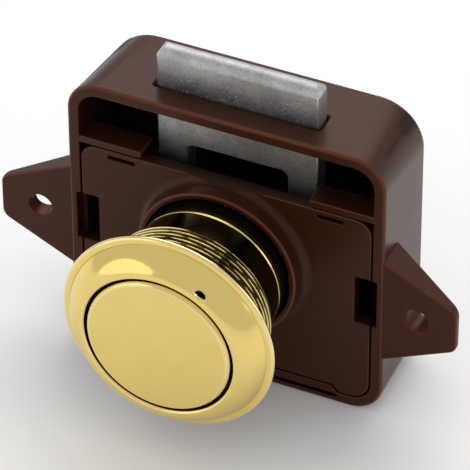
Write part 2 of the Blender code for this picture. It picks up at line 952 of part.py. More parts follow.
def make_bolt(material):
    middle = (0, bolt_front + bolt_thickness / 2, 0)
    top = case_above_axis + bolt_stand
    outline = round_corners([
        (bolt_half, -bolt_foot, bolt_corner),
        (bolt_half, top, bolt_end_round),
        (-bolt_half, top, bolt_end_round),
        (-bolt_half, -bolt_foot, bolt_corner),
    ])
    bolt = plate("bolt", outline, bolt_front - overrun, bolt_back + overrun, material, middle)
    section = bar("bolt_section", bolt_section(), -bolt_half - overrun, bolt_half + overrun)
    combine(bolt, [section], "INTERSECT")
    lugs = both_sides(lambda side: side_block(
        "bolt_lug", side, window_half_width, window_half_width + lug_thickness,
        bolt_front - lug_reach, bolt_front + bolt_thickness / 2,
        pin_height - lug_half_height, pin_height + lug_half_height,
    ))
    add(bolt, *lugs)
    window = plate(
        "bolt_window",
        rounded_rectangle(
            -window_half_width, window_half_width, -window_bottom, window_top,
            window_corner_radius, small_corner_points,
        ),
        bolt_front - overrun,
        bolt_back + overrun,
    )
    hole = rod(
        "pin_hole", (pin_depth, pin_height), pin_radius + pressed_gap,
        -channel_half, channel_half, "X",
    )
    cut(bolt, window, hole)
    return bolt


def make_pin(side, material):
    """A stub pin, from the outside of its lug into the plunger's groove."""
    inner = plunger_half_width - groove_depth + sliding_gap
    outer = window_half_width + lug_thickness
    name = "drive_pin_right" if side > 0 else "drive_pin_left"
    stations = [
        (inner, pin_radius - pin_edge),
        (inner + pin_edge, pin_radius),
        (outer - pin_edge, pin_radius),
        (outer, pin_radius - pin_edge),
    ]
    rings = []
    for reach, radius in stations:
        ring = arc((pin_depth, pin_height), radius, 0, 360, small_segments + 1)[:-1]
        rings.append([(side * reach, y, z) for y, z in ring])
    return loft(name, rings, material, (0, pin_depth, pin_height))


def make_catch_wire(material):
    """A bent wire: a leg down into the boss, an arm forwards and a tip up into the track."""
    bend = wire_bend_radius
    foot = wire_height - wire_radius - leaf_drop - wire_leg_length + sliding_gap
    back = arc(
        (wire_pivot_depth - bend, wire_height - bend), bend, 0, 90, corner_points
    )
    front = arc(
        (wire_tip_stand + bend, wire_height + bend), bend, 270, 180, corner_points
    )
    route = [(wire_pivot_depth, foot)] + back + front
    route.append((wire_tip_stand, wire_height + wire_tip_rise))
    origin = (0, wire_pivot_depth, wire_height)
    return wire("catch_wire", [(0, y, z) for y, z in route], wire_radius, material, origin)


def make_leaf_spring(material):
    """A strip that lies on the boss and rises under the catch wire's arm."""
    base = boss_top + pressed_gap
    front = inner_back - boss_length
    rise = leaf_drop - 2 * pressed_gap - leaf_thickness
    base_half = boss_half_width - leaf_thickness
    side_reach = boss_half_width + boss_screw_side
    strip = loft(
        "catch_leaf_spring",
        [
            [(x, y, base), (x, y, base + leaf_thickness)]
            + [(x, front, base + leaf_thickness), (x, front - leaf_tongue_length, base + leaf_thickness + rise)]
            + [(x, front - leaf_tongue_length, base + rise), (x, front, base)]
            for x in (-leaf_half_width, leaf_half_width)
            for y in (inner_back - sliding_gap,)
        ],
        material,
    )
    wing = block(
        "leaf_wing",
        (-base_half, front + leaf_thickness, base),
        (side_reach, inner_back - sliding_gap, base + leaf_thickness),
    )
    add(strip, wing)
    cut(
        strip,
        rod(
            "leaf_wire_hole", (0, wire_pivot_depth), wire_radius + sliding_gap,
            base - overrun, base + leaf_thickness + overrun, "Z",
        ),
        rod(
            "leaf_screw_clearance", screw_place(), screw_radius + pressed_gap,
            base - overrun, base + leaf_thickness + overrun, "Z",
        ),
    )
    return strip


def make_leaf_screw(material):
    """A small slotted screw that holds the leaf spring on the boss."""
    seat = boss_top + leaf_thickness + 2 * pressed_gap
    x, y = screw_place()
    rings = []
    for radius, height in (
        (screw_radius / 2, seat - screw_length),
        (screw_radius, seat - screw_length + screw_radius),
        (screw_radius, seat),
        (screw_head_radius, seat),
        (screw_head_radius, seat + screw_head_height / 2),
        (screw_head_radius - screw_head_height / 2, seat + screw_head_height),
    ):
        ring = arc((x, y), radius, 0, 360, small_segments + 1)[:-1]
        rings.append([(a, b, height) for a, b in ring])
    screw = loft("leaf_spring_screw", rings, material, (x, y, seat))
    top = seat + screw_head_height
    slot = block(
        "screw_slot",
        (x - screw_head_radius - overrun, y - screw_slot_width / 2, top - screw_head_height / 2),
        (x + screw_head_radius + overrun, y + screw_slot_width / 2, top + overrun),
    )
    return cut(screw, slot)


def make_axis(name, place, children):
    """An empty on a joint's axis, which carries the pieces that move about or along it."""
    axis = bpy.data.objects.new(name, None)
    axis.location = place
    axis.empty_display_size = pin_radius
    bpy.context.scene.collection.objects.link(axis)
    bpy.context.view_layer.update()
    for child in children:
        child.parent = axis
        child.matrix_parent_inverse = axis.matrix_world.inverted()
    return axis


def main():
    clear_scene()
    plastic = make_material("brown_plastic", (0.045, 0.022, 0.016), 0.28, 0.0)
    acetal = make_material("black_acetal", (0.012, 0.011, 0.011), 0.4, 0.0)
    gold = make_material("polished_gold", (0.83, 0.62, 0.24), 0.12, 1.0)
    zinc = make_material("zinc", (0.56, 0.57, 0.58), 0.34, 1.0)
    steel = make_material("spring_steel", (0.5, 0.5, 0.51), 0.25, 1.0)
    make_case(plastic)
    make_cover(plastic)
    ring = make_ring(gold)
    knob = [make_knob(gold), make_snap_ring(steel), make_plunger(acetal)]
    make_return_spring(steel)
    bolt = [make_bolt(zinc), make_pin(1, steel), make_pin(-1, steel)]
    catch = make_catch_wire(steel)
    make_leaf_spring(steel)
    make_leaf_screw(steel)
    make_axis("ring_axis", (0, -ring_back_stand, 0), [ring])
    make_axis("knob_axis", (0, -knob_face_stand, 0), knob)
    make_axis("bolt_axis", (0, bolt_front + bolt_thickness / 2, 0), bolt)
    make_axis("catch_wire_pivot", (0, wire_pivot_depth, wire_height), [catch])


main()
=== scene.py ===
"""The looks of a push-button cabinet latch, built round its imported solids.

Each operator makes one piece, or one group of like pieces, in the frame of the solids: the button's
axis is the Y axis, the door lies at y = 0, the button points to -Y and the bolt comes out to +Z.
"""

import json
import math

import bmesh
import bpy
from bpy.props import FloatProperty, FloatVectorProperty, IntProperty, PointerProperty
from mathutils import Matrix, Vector


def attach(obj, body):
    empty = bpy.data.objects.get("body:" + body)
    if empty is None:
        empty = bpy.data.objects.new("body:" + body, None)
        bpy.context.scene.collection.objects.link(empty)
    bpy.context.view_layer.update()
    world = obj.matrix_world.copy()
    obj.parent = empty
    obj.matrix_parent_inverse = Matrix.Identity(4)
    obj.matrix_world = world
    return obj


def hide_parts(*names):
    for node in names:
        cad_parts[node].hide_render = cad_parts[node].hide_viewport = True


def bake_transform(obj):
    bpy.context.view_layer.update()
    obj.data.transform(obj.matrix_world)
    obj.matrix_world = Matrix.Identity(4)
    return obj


bl_info = {
    "name": "Push-button latch",
    "version": (1, 0, 0),
    "blender": (4, 5, 0),
    "location": "View3D > Sidebar > Latch",
    "description": "Builds a furniture push latch piece by piece",
    "category": "Add Mesh",
}

MM = 0.001
PAST = MM  # how far a cutter reaches past the surface that it cuts
ROOTED = 0.6  # the share of the cover's thickness at which what stands behind it begins

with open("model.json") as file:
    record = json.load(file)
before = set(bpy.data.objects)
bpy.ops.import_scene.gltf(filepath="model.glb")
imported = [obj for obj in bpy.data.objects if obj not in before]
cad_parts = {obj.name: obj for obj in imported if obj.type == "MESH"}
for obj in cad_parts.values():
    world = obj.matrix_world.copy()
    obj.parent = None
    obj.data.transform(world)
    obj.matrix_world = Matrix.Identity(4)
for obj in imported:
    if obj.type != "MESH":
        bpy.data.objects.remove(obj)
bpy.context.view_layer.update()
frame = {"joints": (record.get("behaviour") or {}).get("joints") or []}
knob_range = next(joint for joint in frame["joints"] if joint["name"] == "knob_slide")["range_m"]
TRAVEL_IN, TRAVEL_OUT = -knob_range[0], knob_range[1]  # how far the button goes from rest


def length(name, description, millimetres):
    return FloatProperty(
        name=name, description=description, default=millimetres * MM, unit="LENGTH", precision=5
    )


def colour(name, description, red, green, blue):
    return FloatVectorProperty(
        name=name, description=description, default=(red, green, blue), subtype="COLOR",
        size=3, min=0.0, max=1.0,
    )


def share(name, description, default):
    return FloatProperty(
        name=name, description=description, default=default, min=0.0, max=1.0, subtype="FACTOR"
    )


def degrees(name, description, value):
    return FloatProperty(
        name=name, description=description, default=math.radians(value), unit="ROTATION"
    )


def count(name, description, default):
    return IntProperty(name=name, description=description, default=default, min=3)


class LatchCaseSizes(bpy.types.PropertyGroup):
    width: length("Width", "Width of the case without its ears", 53.2)
    above: length("Above axis", "Top of the case above the button's axis", 25.3)
    below: length("Below axis", "Bottom of the case below the button's axis", 24.0)
    depth: length("Depth", "Depth of the case behind the door", 17.0)
    wall: length("Wall", "Thickness of the moulded walls", 1.9)
    corner: length("Corner radius", "Radius of the corners at the front", 5.4)
    back_corner: length("Back corner radius", "Radius of the upper corners at the back", 7.6)
    back_edge: length("Back edge radius", "Rounding of the edge round the back", 1.2)
    draft: length("Draft", "How much the walls lean in towards the back", 0.4)
    rim_edge: length("Rim edge", "Rounding of the front rim's edges", 0.5)
    rib_edge: length("Rib edge", "Rounding of the ribs' edges", 0.2)
    ear_span: length("Ear span", "Width over both ears", 77.4)
    ear_root: length("Ear root", "Half the height of an ear at the case", 9.6)
    ear_tip: length("Ear tip", "Half the height of an ear at its tip", 3.85)
    ear_tip_radius: length("Ear tip radius", "Radius of the corners at an ear's tip", 1.9)
    ear_thick_left: length("Left ear thickness", "Thickness of the left ear at the case", 4.4)
    ear_thick_right: length("Right ear thickness", "Thickness of the right ear at the case", 6.0)
    ear_thin: length("Ear tip thickness", "Thickness of an ear at its tip", 1.3)
    ear_drop_left: length("Left ear drop", "How far the left ear sits below the axis", 1.4)
    ear_drop_right: length("Right ear drop", "How far the right ear sits below the axis", 3.05)
    ear_step: length("Ear step", "How far an ear's front sits behind the rim", 0.08)
    ear_hole_reach: length("Ear hole reach", "Distance of a screw hole from the middle", 31.9)
    ear_hole: length("Ear hole radius", "Radius of a screw hole", 2.0)
    ear_hole_rise: length("Ear hole rise", "Height of a screw hole above its ear's middle", 0.1)
    ear_hole_edge: length("Ear hole edge", "Rounding of a screw hole's edge", 0.3)
    ear_edge: length("Ear edge", "Rounding of the ears' edges", 0.35)
    guide: length("Guide width", "Width of the guides beside the bolt", 1.5)
    rail: length("Rail width", "Width of the rails behind the bolt", 2.0)
    rail_top: length("Rail top", "Height of the rails' top above the axis", 12.0)
    rib_reach: length("Catch rib reach", "How far a catch rib stands in from the wall", 2.3)
    rib_front: length("Catch rib front", "Depth of a catch rib's front in the case", 5.1)
    rib_back: length("Catch rib back", "Depth of a catch rib's back in the case", 6.9)
    post: length("Post radius", "Radius of the post in the return spring", 2.0)
    post_reach: length("Post length", "How far the post stands up from the floor", 5.5)


class LatchCoverSizes(bpy.types.PropertyGroup):
    gap: length("Gap", "Gap between the cover and the case", 0.3)
    thickness: length("Thickness", "Thickness of the cover", 2.2)
    edge: length("Edge", "Rounding of the cover's edges", 0.22)
    corner: length("Corner radius", "Radius of the cover's upper corners", 2.6)
    shelf: length("Shelf height", "Height of the shelf's top above the axis", 15.0)
    shelf_thickness: length("Shelf thickness", "Thickness of the shelf", 1.2)
    shelf_depth: length("Shelf depth", "Depth of the shelf", 4.5)
    sill_inset: length("Sill inset", "Distance from the sill's end to the cover's side", 6.4)
    sill_slope: length("Sill slope", "Width of the slope at the sill's ends", 1.1)
    sill_height: length("Sill height", "Height of the sill", 1.2)
    bore: length("Bore radius", "Radius of the hole for the button", 12.4)
    collar_height: length("Collar height", "How far the collar stands out", 3.5)
    collar_lip: length("Collar lip", "Thickness of the collar at its lip", 1.0)
    collar_round: length("Collar lip rounding", "Rounding of the collar's lip", 0.4)
    collar_fillet: length("Collar fillet", "Radius at the foot of the collar", 1.5)
    window_width: length("Window width", "Width of a snap window", 2.7)
    window_height: length("Window height", "Height of a snap window", 9.0)
    window_drop_left: length("Left window drop", "Left window's middle below the axis", 0.9)
    window_drop_right: length("Right window drop", "Right window's middle below the axis", 2.1)
    window_pocket: length("Window pocket", "Reach of a window into the rim", 0.7)
    window_corner: length("Window corner", "Radius of a snap window's corners", 0.15)
    slot_reach: length("Slot reach", "Distance of a tab slot from the middle", 17.5)
    slot_length: length("Slot length", "Length of a tab slot", 4.5)
    slot_height: length("Slot height", "Height of a tab slot", 0.7)
    slot_drop: length("Slot drop", "Distance of a tab slot from the cover's top", 0.9)
    leg_height: length("Leg height", "Height of a snap leg", 3.6)
    leg_thickness: length("Leg thickness", "Thickness of a snap leg", 1.6)
    leg_hook: length("Leg hook", "Depth of a snap leg's hook in the case", 7.2)
    leg_end: length("Leg end", "Depth of a snap leg's end in the case", 9.3)
    hook_reach: length("Hook reach", "How far a snap leg's hook stands out", 2.0)
    pad: length("Pad width", "Width of the pads in front of the bolt", 2.0)


class LatchButtonSizes(bpy.types.PropertyGroup):
    radius: length("Radius", "Radius of the button cap", 12.0)
    wall: length("Wall", "Thickness of the cap's side", 1.25)
    face_thickness: length("Face thickness", "Thickness of the cap's face", 1.6)
    face: length("Face stand", "Distance of the cap's face from the door's back", 24.7)
    rear: length("Rear stand", "Distance of the cap's rear edge from the door's back", 5.9)
    edge: length("Edge radius", "Rounding of the cap's front edge", 0.8)
    snap_stand: length("Snap ring stand", "Distance of the snap ring from the door's back", 14.0)
    snap_wire: length("Snap ring wire", "Radius of the snap ring's wire", 0.5)
    snap_radius: length("Snap ring radius", "Mean radius of the snap ring", 10.75)
    snap_slack: length("Snap ring slack", "Room round the snap ring's wire in its groove", 0.15)
    flange: length("Flange radius", "Radius of the plunger's flange", 11.85)
    flange_back: length("Flange back", "Distance of the flange's back from the door's back", 2.3)
    core_width: length("Core width", "Half the width of the plunger's core", 7.6)
    core_height: length("Core height", "Half the height of the plunger's core", 7.4)
    core_back: length("Core back", "Depth of the plunger's core in the case", 12.7)
    spring_bore: length("Spring bore", "Radius of the bore for the return spring", 3.8)
    spring_pocket: length("Spring pocket", "Distance of the bore's end from the door's back", 17.5)
    spring_radius: length("Spring radius", "Mean radius of the return spring", 3.0)
    spring_wire: length("Spring wire", "Radius of the return spring's wire", 0.4)
    spring_turns: count("Spring turns", "Turns of the return spring", 13)
    groove: length("Drive groove depth", "Depth of the grooves for the drive pins", 1.9)
    track_depth: length("Track depth", "Depth of the catch wire's track", 2.0)


class LatchRingSizes(bpy.types.PropertyGroup):
    radius: length("Radius", "Radius of the ring", 17.6)
    edge: length("Edge stand", "Distance of the ring's front from the door's back", 24.5)
    back: length("Back stand", "Distance of the ring's back from the door's back", 20.0)
    rim: length("Rim thickness", "Thickness of the ring's rim", 1.0)
    rim_width: length("Rim width", "Width of the flat of the rim", 1.1)
    lip: length("Lip width", "Width of the lip round the button", 0.9)
    dome: length("Dome rise", "How far the ring's front swells", 0.45)
    sleeve: length("Sleeve length", "Length of the threaded sleeve", 8.0)
    root: length("Thread root radius", "Radius at the thread's root", 13.25)
    thread: length("Thread depth", "Height of the thread", 0.5)
    pitch: length("Thread pitch", "Pitch of the thread", 0.8)
    relief: length("Relief width", "Width of the groove in the ring's back", 0.8)
    relief_depth: length("Relief depth", "Depth of the groove in the ring's back", 0.15)
    key_across: length("Key hole across", "Half the key hole's size across the ring", 0.46)
    key_along: length("Key hole along", "Half the key hole's size along the ring", 0.9)
    key_circle: length("Key hole circle", "Distance of the key hole from the axis", 14.1)
    key_mouth: length("Key hole mouth", "How far its mouth lies behind the ring's front", 0.45)
    key_depth: length("Key hole depth", "How far it reaches behind the ring's front", 2.6)
    key_turn: degrees("Key hole turn", "Where the key hole stands round the ring", 60)


class LatchBoltSizes(bpy.types.PropertyGroup):
    width: length("Width", "Width of the bolt", 27.0)
    thickness: length("Thickness", "Thickness of the bolt", 3.3)
    front: length("Front", "Depth of the bolt's front in the case", 4.75)
    stand: length("Stand", "How far the bolt stands out of the case", 6.7)
    foot: length("Foot", "How far the bolt reaches below the axis", 14.4)
    end_round: length("End rounding", "Radius of the bolt's upper corners", 1.6)
    edge: length("Edge", "Rounding of the bolt's edges", 0.35)
    window: length("Window", "Half the width of the bolt's window", 8.4)
    window_top: length("Window top", "Height of the window's top above the axis", 15.0)
    window_bottom: length("Window bottom", "Depth of the window's bottom below the axis", 12.0)
    lug: length("Lug thickness", "Thickness of the lugs that hold the pins", 1.7)
    lug_half: length("Lug height", "Half the height of a lug", 2.0)
    lug_reach: length("Lug reach", "How far the lugs stand out in front of the bolt", 4.7)
    pin: length("Pin radius", "Radius of the drive pins", 1.0)
    pin_depth: length("Pin depth", "Depth of the pins in the case", 1.75)
    pin_height: length("Pin height", "Height of the pins above the axis", 2.8)
    travel: length("Travel", "How far the bolt goes down", 7.0)


class LatchCatchSizes(bpy.types.PropertyGroup):
    wire: length("Wire radius", "Radius of the catch wire", 0.55)
    tip: length("Tip depth", "Depth of the wire's tip in the case", 1.2)
    pivot: length("Pivot depth", "Depth of the wire's pivot in the case", 13.1)
    height: length("Height", "Height of the wire's arm below the axis", 8.9)
    rise: length("Tip rise", "How far the tip stands up", 2.9)
    bend: length("Bend", "Radius of the wire's bends", 1.1)
    leg: length("Leg", "Length of the wire's leg in the boss", 4.0)
    boss_gap: length("Boss gap", "Gap between the wire's arm and the boss", 1.5)
    boss_left: length("Boss left", "How far the boss reaches to the left", 3.0)
    boss_right: length("Boss right", "How far the boss reaches to the right", 5.0)
    boss_depth: length("Boss depth", "How far the boss stands up from the floor", 4.2)
    boss_height: length("Boss height", "Height of the boss", 5.0)
    leaf: length("Leaf thickness", "Thickness of the leaf spring", 0.3)
    screw: length("Screw radius", "Radius of the screw", 0.8)
    screw_head: length("Screw head radius", "Radius of the screw's head", 1.4)
    screw_place: length("Screw place", "Distance of the screw from the middle", 3.5)
    screw_hole: length("Screw hole", "Depth of the screw's hole", 3.5)


class LatchFinishes(bpy.types.PropertyGroup):
    plastic: colour("Plastic", "Colour of the moulded case and cover", 0.031, 0.0092, 0.0041)
    # painted highlight: reddish light laid along the plastic's rounded edges
    plastic_edge: colour("Plastic edge", "Colour of the plastic's edges", 0.115, 0.034, 0.018)
    plastic_dust: colour("Dust", "Colour of the dust on the plastic", 0.3, 0.24, 0.2)
    # painted shade colour, laid deep in the case and on the cover's back
    plastic_shade: colour("Plastic shade", "Colour deep in the case", 0.004, 0.003, 0.002)
    plastic_gloss: share("Plastic roughness", "Roughness of the moulded plastic", 0.3)
    gold: colour("Gold", "Colour of the gold plating", 0.83, 0.64, 0.215)
    gold_deep: colour("Deep gold", "Colour of the plating in its darker patches", 0.74, 0.53, 0.15)
    gold_pit: colour("Gold pits", "Colour of the pits in the plating", 0.2, 0.1, 0.04)
    # painted highlight: paler gold laid along the plating's rounded edges
    gold_edge: colour("Gold edge", "Colour of the plating on edges", 0.95, 0.87, 0.62)
    gold_shade: colour("Gold shade", "Colour of the plating in shade", 0.012, 0.008, 0.005)
    gold_gloss: share("Gold roughness", "Roughness of the gold plating", 0.1)
    zinc: colour("Zinc", "Colour of the die-cast bolt", 0.57, 0.57, 0.565)
    # the bolt's real darker grains and stains, and also its painted shade
    zinc_dark: colour("Dark zinc", "Colour of the bolt's darker grains", 0.1, 0.1, 0.1)
    zinc_edge: colour("Zinc edge", "Colour of the bolt's worn edges", 0.8, 0.81, 0.82)
    zinc_black: colour("Black grains", "Colour of the blackest grains", 0.02, 0.02, 0.02)
    zinc_bright: colour("Bright grains", "Colour of the brightest grains", 0.95, 0.95, 0.95)
    steel: colour("Steel", "Colour of the wires and springs", 0.5, 0.5, 0.51)
    steel_stain: colour("Steel stain", "Colour of the oil stains on them", 0.3, 0.28, 0.26)
    acetal: colour("Acetal", "Colour of the plunger", 0.003, 0.0022, 0.0016)
    acetal_rub: colour("Acetal rub", "Colour of its rubbed patches", 0.006, 0.0045, 0.0035)
    acetal_edge: colour("Acetal edge", "Colour of its edges", 0.02, 0.015, 0.012)


class LatchStageSettings(bpy.types.PropertyGroup):
    azimuth: degrees("Azimuth", "The camera's direction round the latch", 24.665)
    elevation: degrees("Elevation", "The camera's height above the horizon", 39.337)
    roll: degrees("Roll", "The camera's turn about its own axis", -0.302)
    distance: length("Distance", "The camera's distance from its target", 670.0)
    focal: FloatProperty(
        name="Focal length", description="Focal length in millimetres", default=333.57
    )
    target: FloatVectorProperty(
        name="Target", description="The point that the camera looks at",
        default=(1.743 * MM, 0.0, 4.034 * MM), subtype="TRANSLATION", unit="LENGTH",
    )
    floor: colour("Floor", "Colour of the floor", 0.96, 0.96, 0.96)
    surround: share("Surround", "Brightness of the studio round the latch", 0.72)


# Outlines


def arc(centre, radius, start, end, points):
    """Points of an arc between two angles in degrees."""
    turns = [math.radians(start + (end - start) * step / (points - 1)) for step in range(points)]
    return [(centre[0] + radius * math.cos(t), centre[1] + radius * math.sin(t)) for t in turns]


def circle(centre, radius, points):
    return arc(centre, radius, 0, 360, points + 1)[:-1]


def turned_by(a, b, angle):
    """A point turned about the origin."""
    return (
        a * math.cos(angle) - b * math.sin(angle), a * math.sin(angle) + b * math.cos(angle)
    )


def span(side, near, far):
    """The lower and upper end of a stretch on the right or left side."""
    return sorted((side * near, side * far))


def rounded_rectangle(left, right, bottom, top, radius, points=7):
    return (
        arc((right - radius, top - radius), radius, 0, 90, points)
        + arc((left + radius, top - radius), radius, 90, 180, points)
        + arc((left + radius, bottom + radius), radius, 180, 270, points)
        + arc((right - radius, bottom + radius), radius, 270, 360, points)
    )


def round_corners(corners, points=7):
    """An outline through (a, b, radius) corners, each rounded where its radius isn't zero."""
    outline = []
    for index, (x, z, radius) in enumerate(corners):
        here = Vector((x, z))
        if radius == 0:
            outline.append((x, z))
            continue
        first = (Vector(corners[index - 1][:2]) - here).normalized()
        second = (Vector(corners[(index + 1) % len(corners)][:2]) - here).normalized()
        half = math.acos(max(-1.0, min(1.0, first.dot(second)))) / 2
        centre = here + (first + second).normalized() * radius / math.sin(half)
        reach = radius / math.tan(half)
        begin, finish = here + first * reach - centre, here + second * reach - centre
        start = math.atan2(begin.y, begin.x)
        sweep = (math.atan2(finish.y, finish.x) - start + math.pi) % math.tau - math.pi
        outline += arc(centre, radius, math.degrees(start), math.degrees(start + sweep), points)
    return outline


def inset(outline, distance):
    """The outline moved inwards by a distance. It runs anticlockwise or clockwise."""
    area = sum(
        a[0] * b[1] - b[0] * a[1] for a, b in zip(outline, outline[1:] + outline[:1])
    )
    side, sharpest = (1 if area > 0 else -1), 0.2
    moved = []
    for index, point in enumerate(outline):
        before = Vector(point) - Vector(outline[index - 1])
        after = Vector(outline[(index + 1) % len(outline)]) - Vector(point)
        first = Vector((-before.y, before.x)).normalized() * side
        second = Vector((-after.y, after.x)).normalized() * side
        step = (first + second) / max(1 + first.dot(second), sharpest)
        moved.append((point[0] + step.x * distance, point[1] + step.y * distance))
    return moved


def edge_steps(steps=4):
    """(inset, advance) shares of a rounded edge, from a flat end to the full outline."""
    turns = [math.pi / 2 * step / (steps - 1) for step in range(steps)]
    return [(1 - math.sin(turn), 1 - math.cos(turn)) for turn in turns]


# Ways to lay an outline of (a, b) in space, at a place along the third direction


def inwards(a, along, b):
    """Across the door, into the case."""
    return a, along, b


def upward(a, along, b):
    """Flat, towards the top."""
    return a, b, along


def sideways(a, along, b):
    """Seen from the side, from left to right."""
    return along, a, b


# Meshes


def link(name, mesh):
    item = bpy.data.objects.new(name, mesh)
    bpy.context.scene.collection.objects.link(item)
    return item


def solid(name, points, faces):
    mesh = bpy.data.meshes.new(name)
    mesh.from_pydata([tuple(point) for point in points], [], faces)
    work = bmesh.new()
    work.from_mesh(mesh)
    bmesh.ops.recalc_face_normals(work, faces=work.faces)
    work.to_mesh(mesh)
    work.free()
    return link(name, mesh)


def loft(name, rings):
    """A solid through rings of points, with a flat face at each end."""
    size = len(rings[0])
    points = [point for ring in rings for point in ring]
    faces = [tuple(range(size))]
    for low in range(0, len(points) - size, size):
        for side in range(size):
            after = (side + 1) % size
            faces.append((low + side, low + after, low + size + after, low + size + side))
    faces.append(tuple(range(len(points) - size, len(points))))
    return solid(name, points, faces)


def plate(name, outline, front, back, edge, place=inwards):
    """A plate with rounded edges: an outline of (a, b), from front to back or to back(a)."""
    reach = back if callable(back) else (lambda a: back)
    near, far = [], []
    for shrink, advance in edge_steps():
        ring = inset(outline, edge * shrink)
        near.append([place(a, front + edge * advance, b) for a, b in ring])
        far.append([place(a, reach(a) - edge * advance, b) for a, b in ring])
    return loft(name, near + far[::-1])


def block(name, low, high, edge):
    """A box with rounded edges and corners."""
    outline = rounded_rectangle(low[0], high[0], low[2], high[2], edge, 4)
    return plate(name, outline, low[1], high[1], edge)


def side_block(name, side, near, far, front, back, bottom, top, edge):
    """A block that stands from near to far on the right or left side."""
    left, right = span(side, near, far)
    return block(name, (left, front, bottom), (right, back, top), edge)


def opening(name, outline, stations, place=inwards):
    """A cutter through an outline; each station is its depth and how far the opening flares."""
    return loft(
        name, [[place(a, along, b) for a, b in inset(outline, -flare)] for along, flare in stations]
    )


def through(start, end, first=0, last=0):
    """Stations of a cut through a wall, with a chamfer at either face where it has a size."""
    near = [(start - PAST, PAST + first), (start + first, 0)] if first else [(start - PAST, 0)]
    far = [(end - last, 0), (end + PAST, PAST + last)] if last else [(end + PAST, 0)]
    return near + far


def turned(name, profile, segments=128, swell=None):
    """A profile of (radius, y) turned about the Y axis, a closed loop or from axis to axis."""
    points, rings, faces = [], [], []
    for radius, depth in profile:
        if radius == 0:
            rings.append([len(points)] * segments)
            points.append((0, depth, 0))
            continue
        rings.append(list(range(len(points), len(points) + segments)))
        for step in range(segments):
            turn = math.tau * step / segments
            reach = radius + (swell(turn, radius, depth) if swell else 0)
            points.append((reach * math.cos(turn), depth, reach * math.sin(turn)))
    closed = profile[0][0] != 0
    for row in range(len(rings) - (0 if closed else 1)):
        near, far = rings[row], rings[(row + 1) % len(rings)]
        for step in range(segments):
            after = (step + 1) % segments
            corners = [near[step], near[after], far[after], far[step]]
            faces.append(tuple(dict.fromkeys(corners)))
    return solid(name, points, faces)


def tube(name, route, radius, sides=12):
    """A round wire along a route, with chamfered ends."""
    route = [Vector(point) for point in route]
    headings = [
        (route[min(i + 1, len(route) - 1)] - route[max(i - 1, 0)]).normalized()
        for i in range(len(route))
    ]
    side = headings[0].orthogonal().normalized()
    rings = []
    for point, heading in zip(route, headings):
        side = (side - heading * side.dot(heading)).normalized()
        up = heading.cross(side)
        rings.append([point + side * a + up * b for a, b in circle((0, 0), radius, sides)])

    def end(ring, centre, before):
        """The ring drawn in by a share and moved out by that share of the radius."""
        out, tip = (centre - before).normalized(), 0.3
        return [point.lerp(centre, tip) + out * radius * tip for point in ring]

    first, last = end(rings[0], route[0], route[1]), end(rings[-1], route[-1], route[-2])
    return loft(name, [first, *rings, last])


def settle(item):
    """Applies an object's modifiers to its mesh."""
    depsgraph = bpy.context.evaluated_depsgraph_get()
    mesh = bpy.data.meshes.new_from_object(item.evaluated_get(depsgraph))
    item.modifiers.clear()
    item.data = mesh


def carve(item, *cutters):
    """Cuts the cutters out of a piece and removes them."""
    for cutter in cutters:
        change = item.modifiers.new(cutter.name, "BOOLEAN")
        change.operation = "DIFFERENCE"
        change.solver = "EXACT"
        change.object = cutter
    bpy.context.view_layer.update()
    settle(item)
    if not item.data.polygons:
        raise RuntimeError(f"{item.name} has no faces left after its cuts")
    for cutter in cutters:
        bpy.data.objects.remove(cutter, do_unlink=True)
    return item


def joined(name, *items):
    """One piece from several, which may stand in each other."""
    work = bmesh.new()
    for item in items:
        work.from_mesh(item.data)
        bpy.data.objects.remove(item, do_unlink=True)
    mesh = bpy.data.meshes.new(name)
    work.to_mesh(mesh)
    work.free()
    return link(name, mesh)


def mark_edges(mesh, width):
    """Stores 1 at each point that has only narrow faces round it, as on a rounded edge."""
    work = bmesh.new()
    work.from_mesh(mesh)
    values, least_bend = [], math.radians(9)
    for point in work.verts:
        narrow = [
            face.calc_area() / max(edge.calc_length() for edge in face.edges)
            for face in point.link_faces
        ]
        bends = max(
            (edge.calc_face_angle_signed(0.0) for edge in point.link_edges), default=0.0
        )
        values.append(1.0 if narrow and max(narrow) < width and bends > least_bend else 0.0)
    work.free()
    mark = mesh.attributes.new("edge", "FLOAT", "POINT")
    mark.data.foreach_set("value", values)


def mark_grime(mesh, amount):
    """Stores how dark the painted shade makes each point, from its place."""
    values = [min(max(amount(*point.co), 0.0), 1.0) for point in mesh.vertices]
    mark = mesh.attributes.new("grime", "FLOAT", "POINT")
    mark.data.foreach_set("value", values)


def fade(value, low, high):
    """Goes from 0 at low to 1 at high, smoothly."""
    part = min(max((value - low) / (high - low), 0.0), 1.0)
    return part * part * (3 - 2 * part)


def dress(item, body, make, replaced, angle=34, edge_width=0.3 * MM, grime=None):
    """Shades a piece, gives it its finish and lets it ride on its body, if it has just one."""
    mesh = item.data
    mark_edges(mesh, edge_width)
    # stores the painted shade, nothing where a piece is given no function for it
    mark_grime(mesh, grime or (lambda x, y, z: 0.0))
    mesh.shade_smooth()
    mesh.set_sharp_from_angle(angle=math.radians(angle))
    mesh.materials.clear()
    mesh.materials.append(finish_by(make))
    even = item.modifiers.new("even_shading", "WEIGHTED_NORMAL")
    even.keep_sharp = True
    even.weight = 60
    if body:
        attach(item, body)
    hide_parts(*replaced)


# Finishes


class Signal:
    """A socket that carries a value. Arithmetic on it adds Math nodes."""

    def __init__(self, tree, socket):
        self.tree, self.socket = tree, socket

    def math(self, operation, first, second):
        return self.tree.add(
            "ShaderNodeMath", {"operation": operation}, {0: first, 1: second}
        )

    def __add__(self, other):
        return self.math("ADD", self, other)

    def __radd__(self, other):
        return self.math("ADD", other, self)

    def __sub__(self, other):
        return self.math("SUBTRACT", self, other)

    def __rsub__(self, other):
        return self.math("SUBTRACT", other, self)

    def __mul__(self, other):
        return self.math("MULTIPLY", self, other)

    def __rmul__(self, other):
        return self.math("MULTIPLY", other, self)


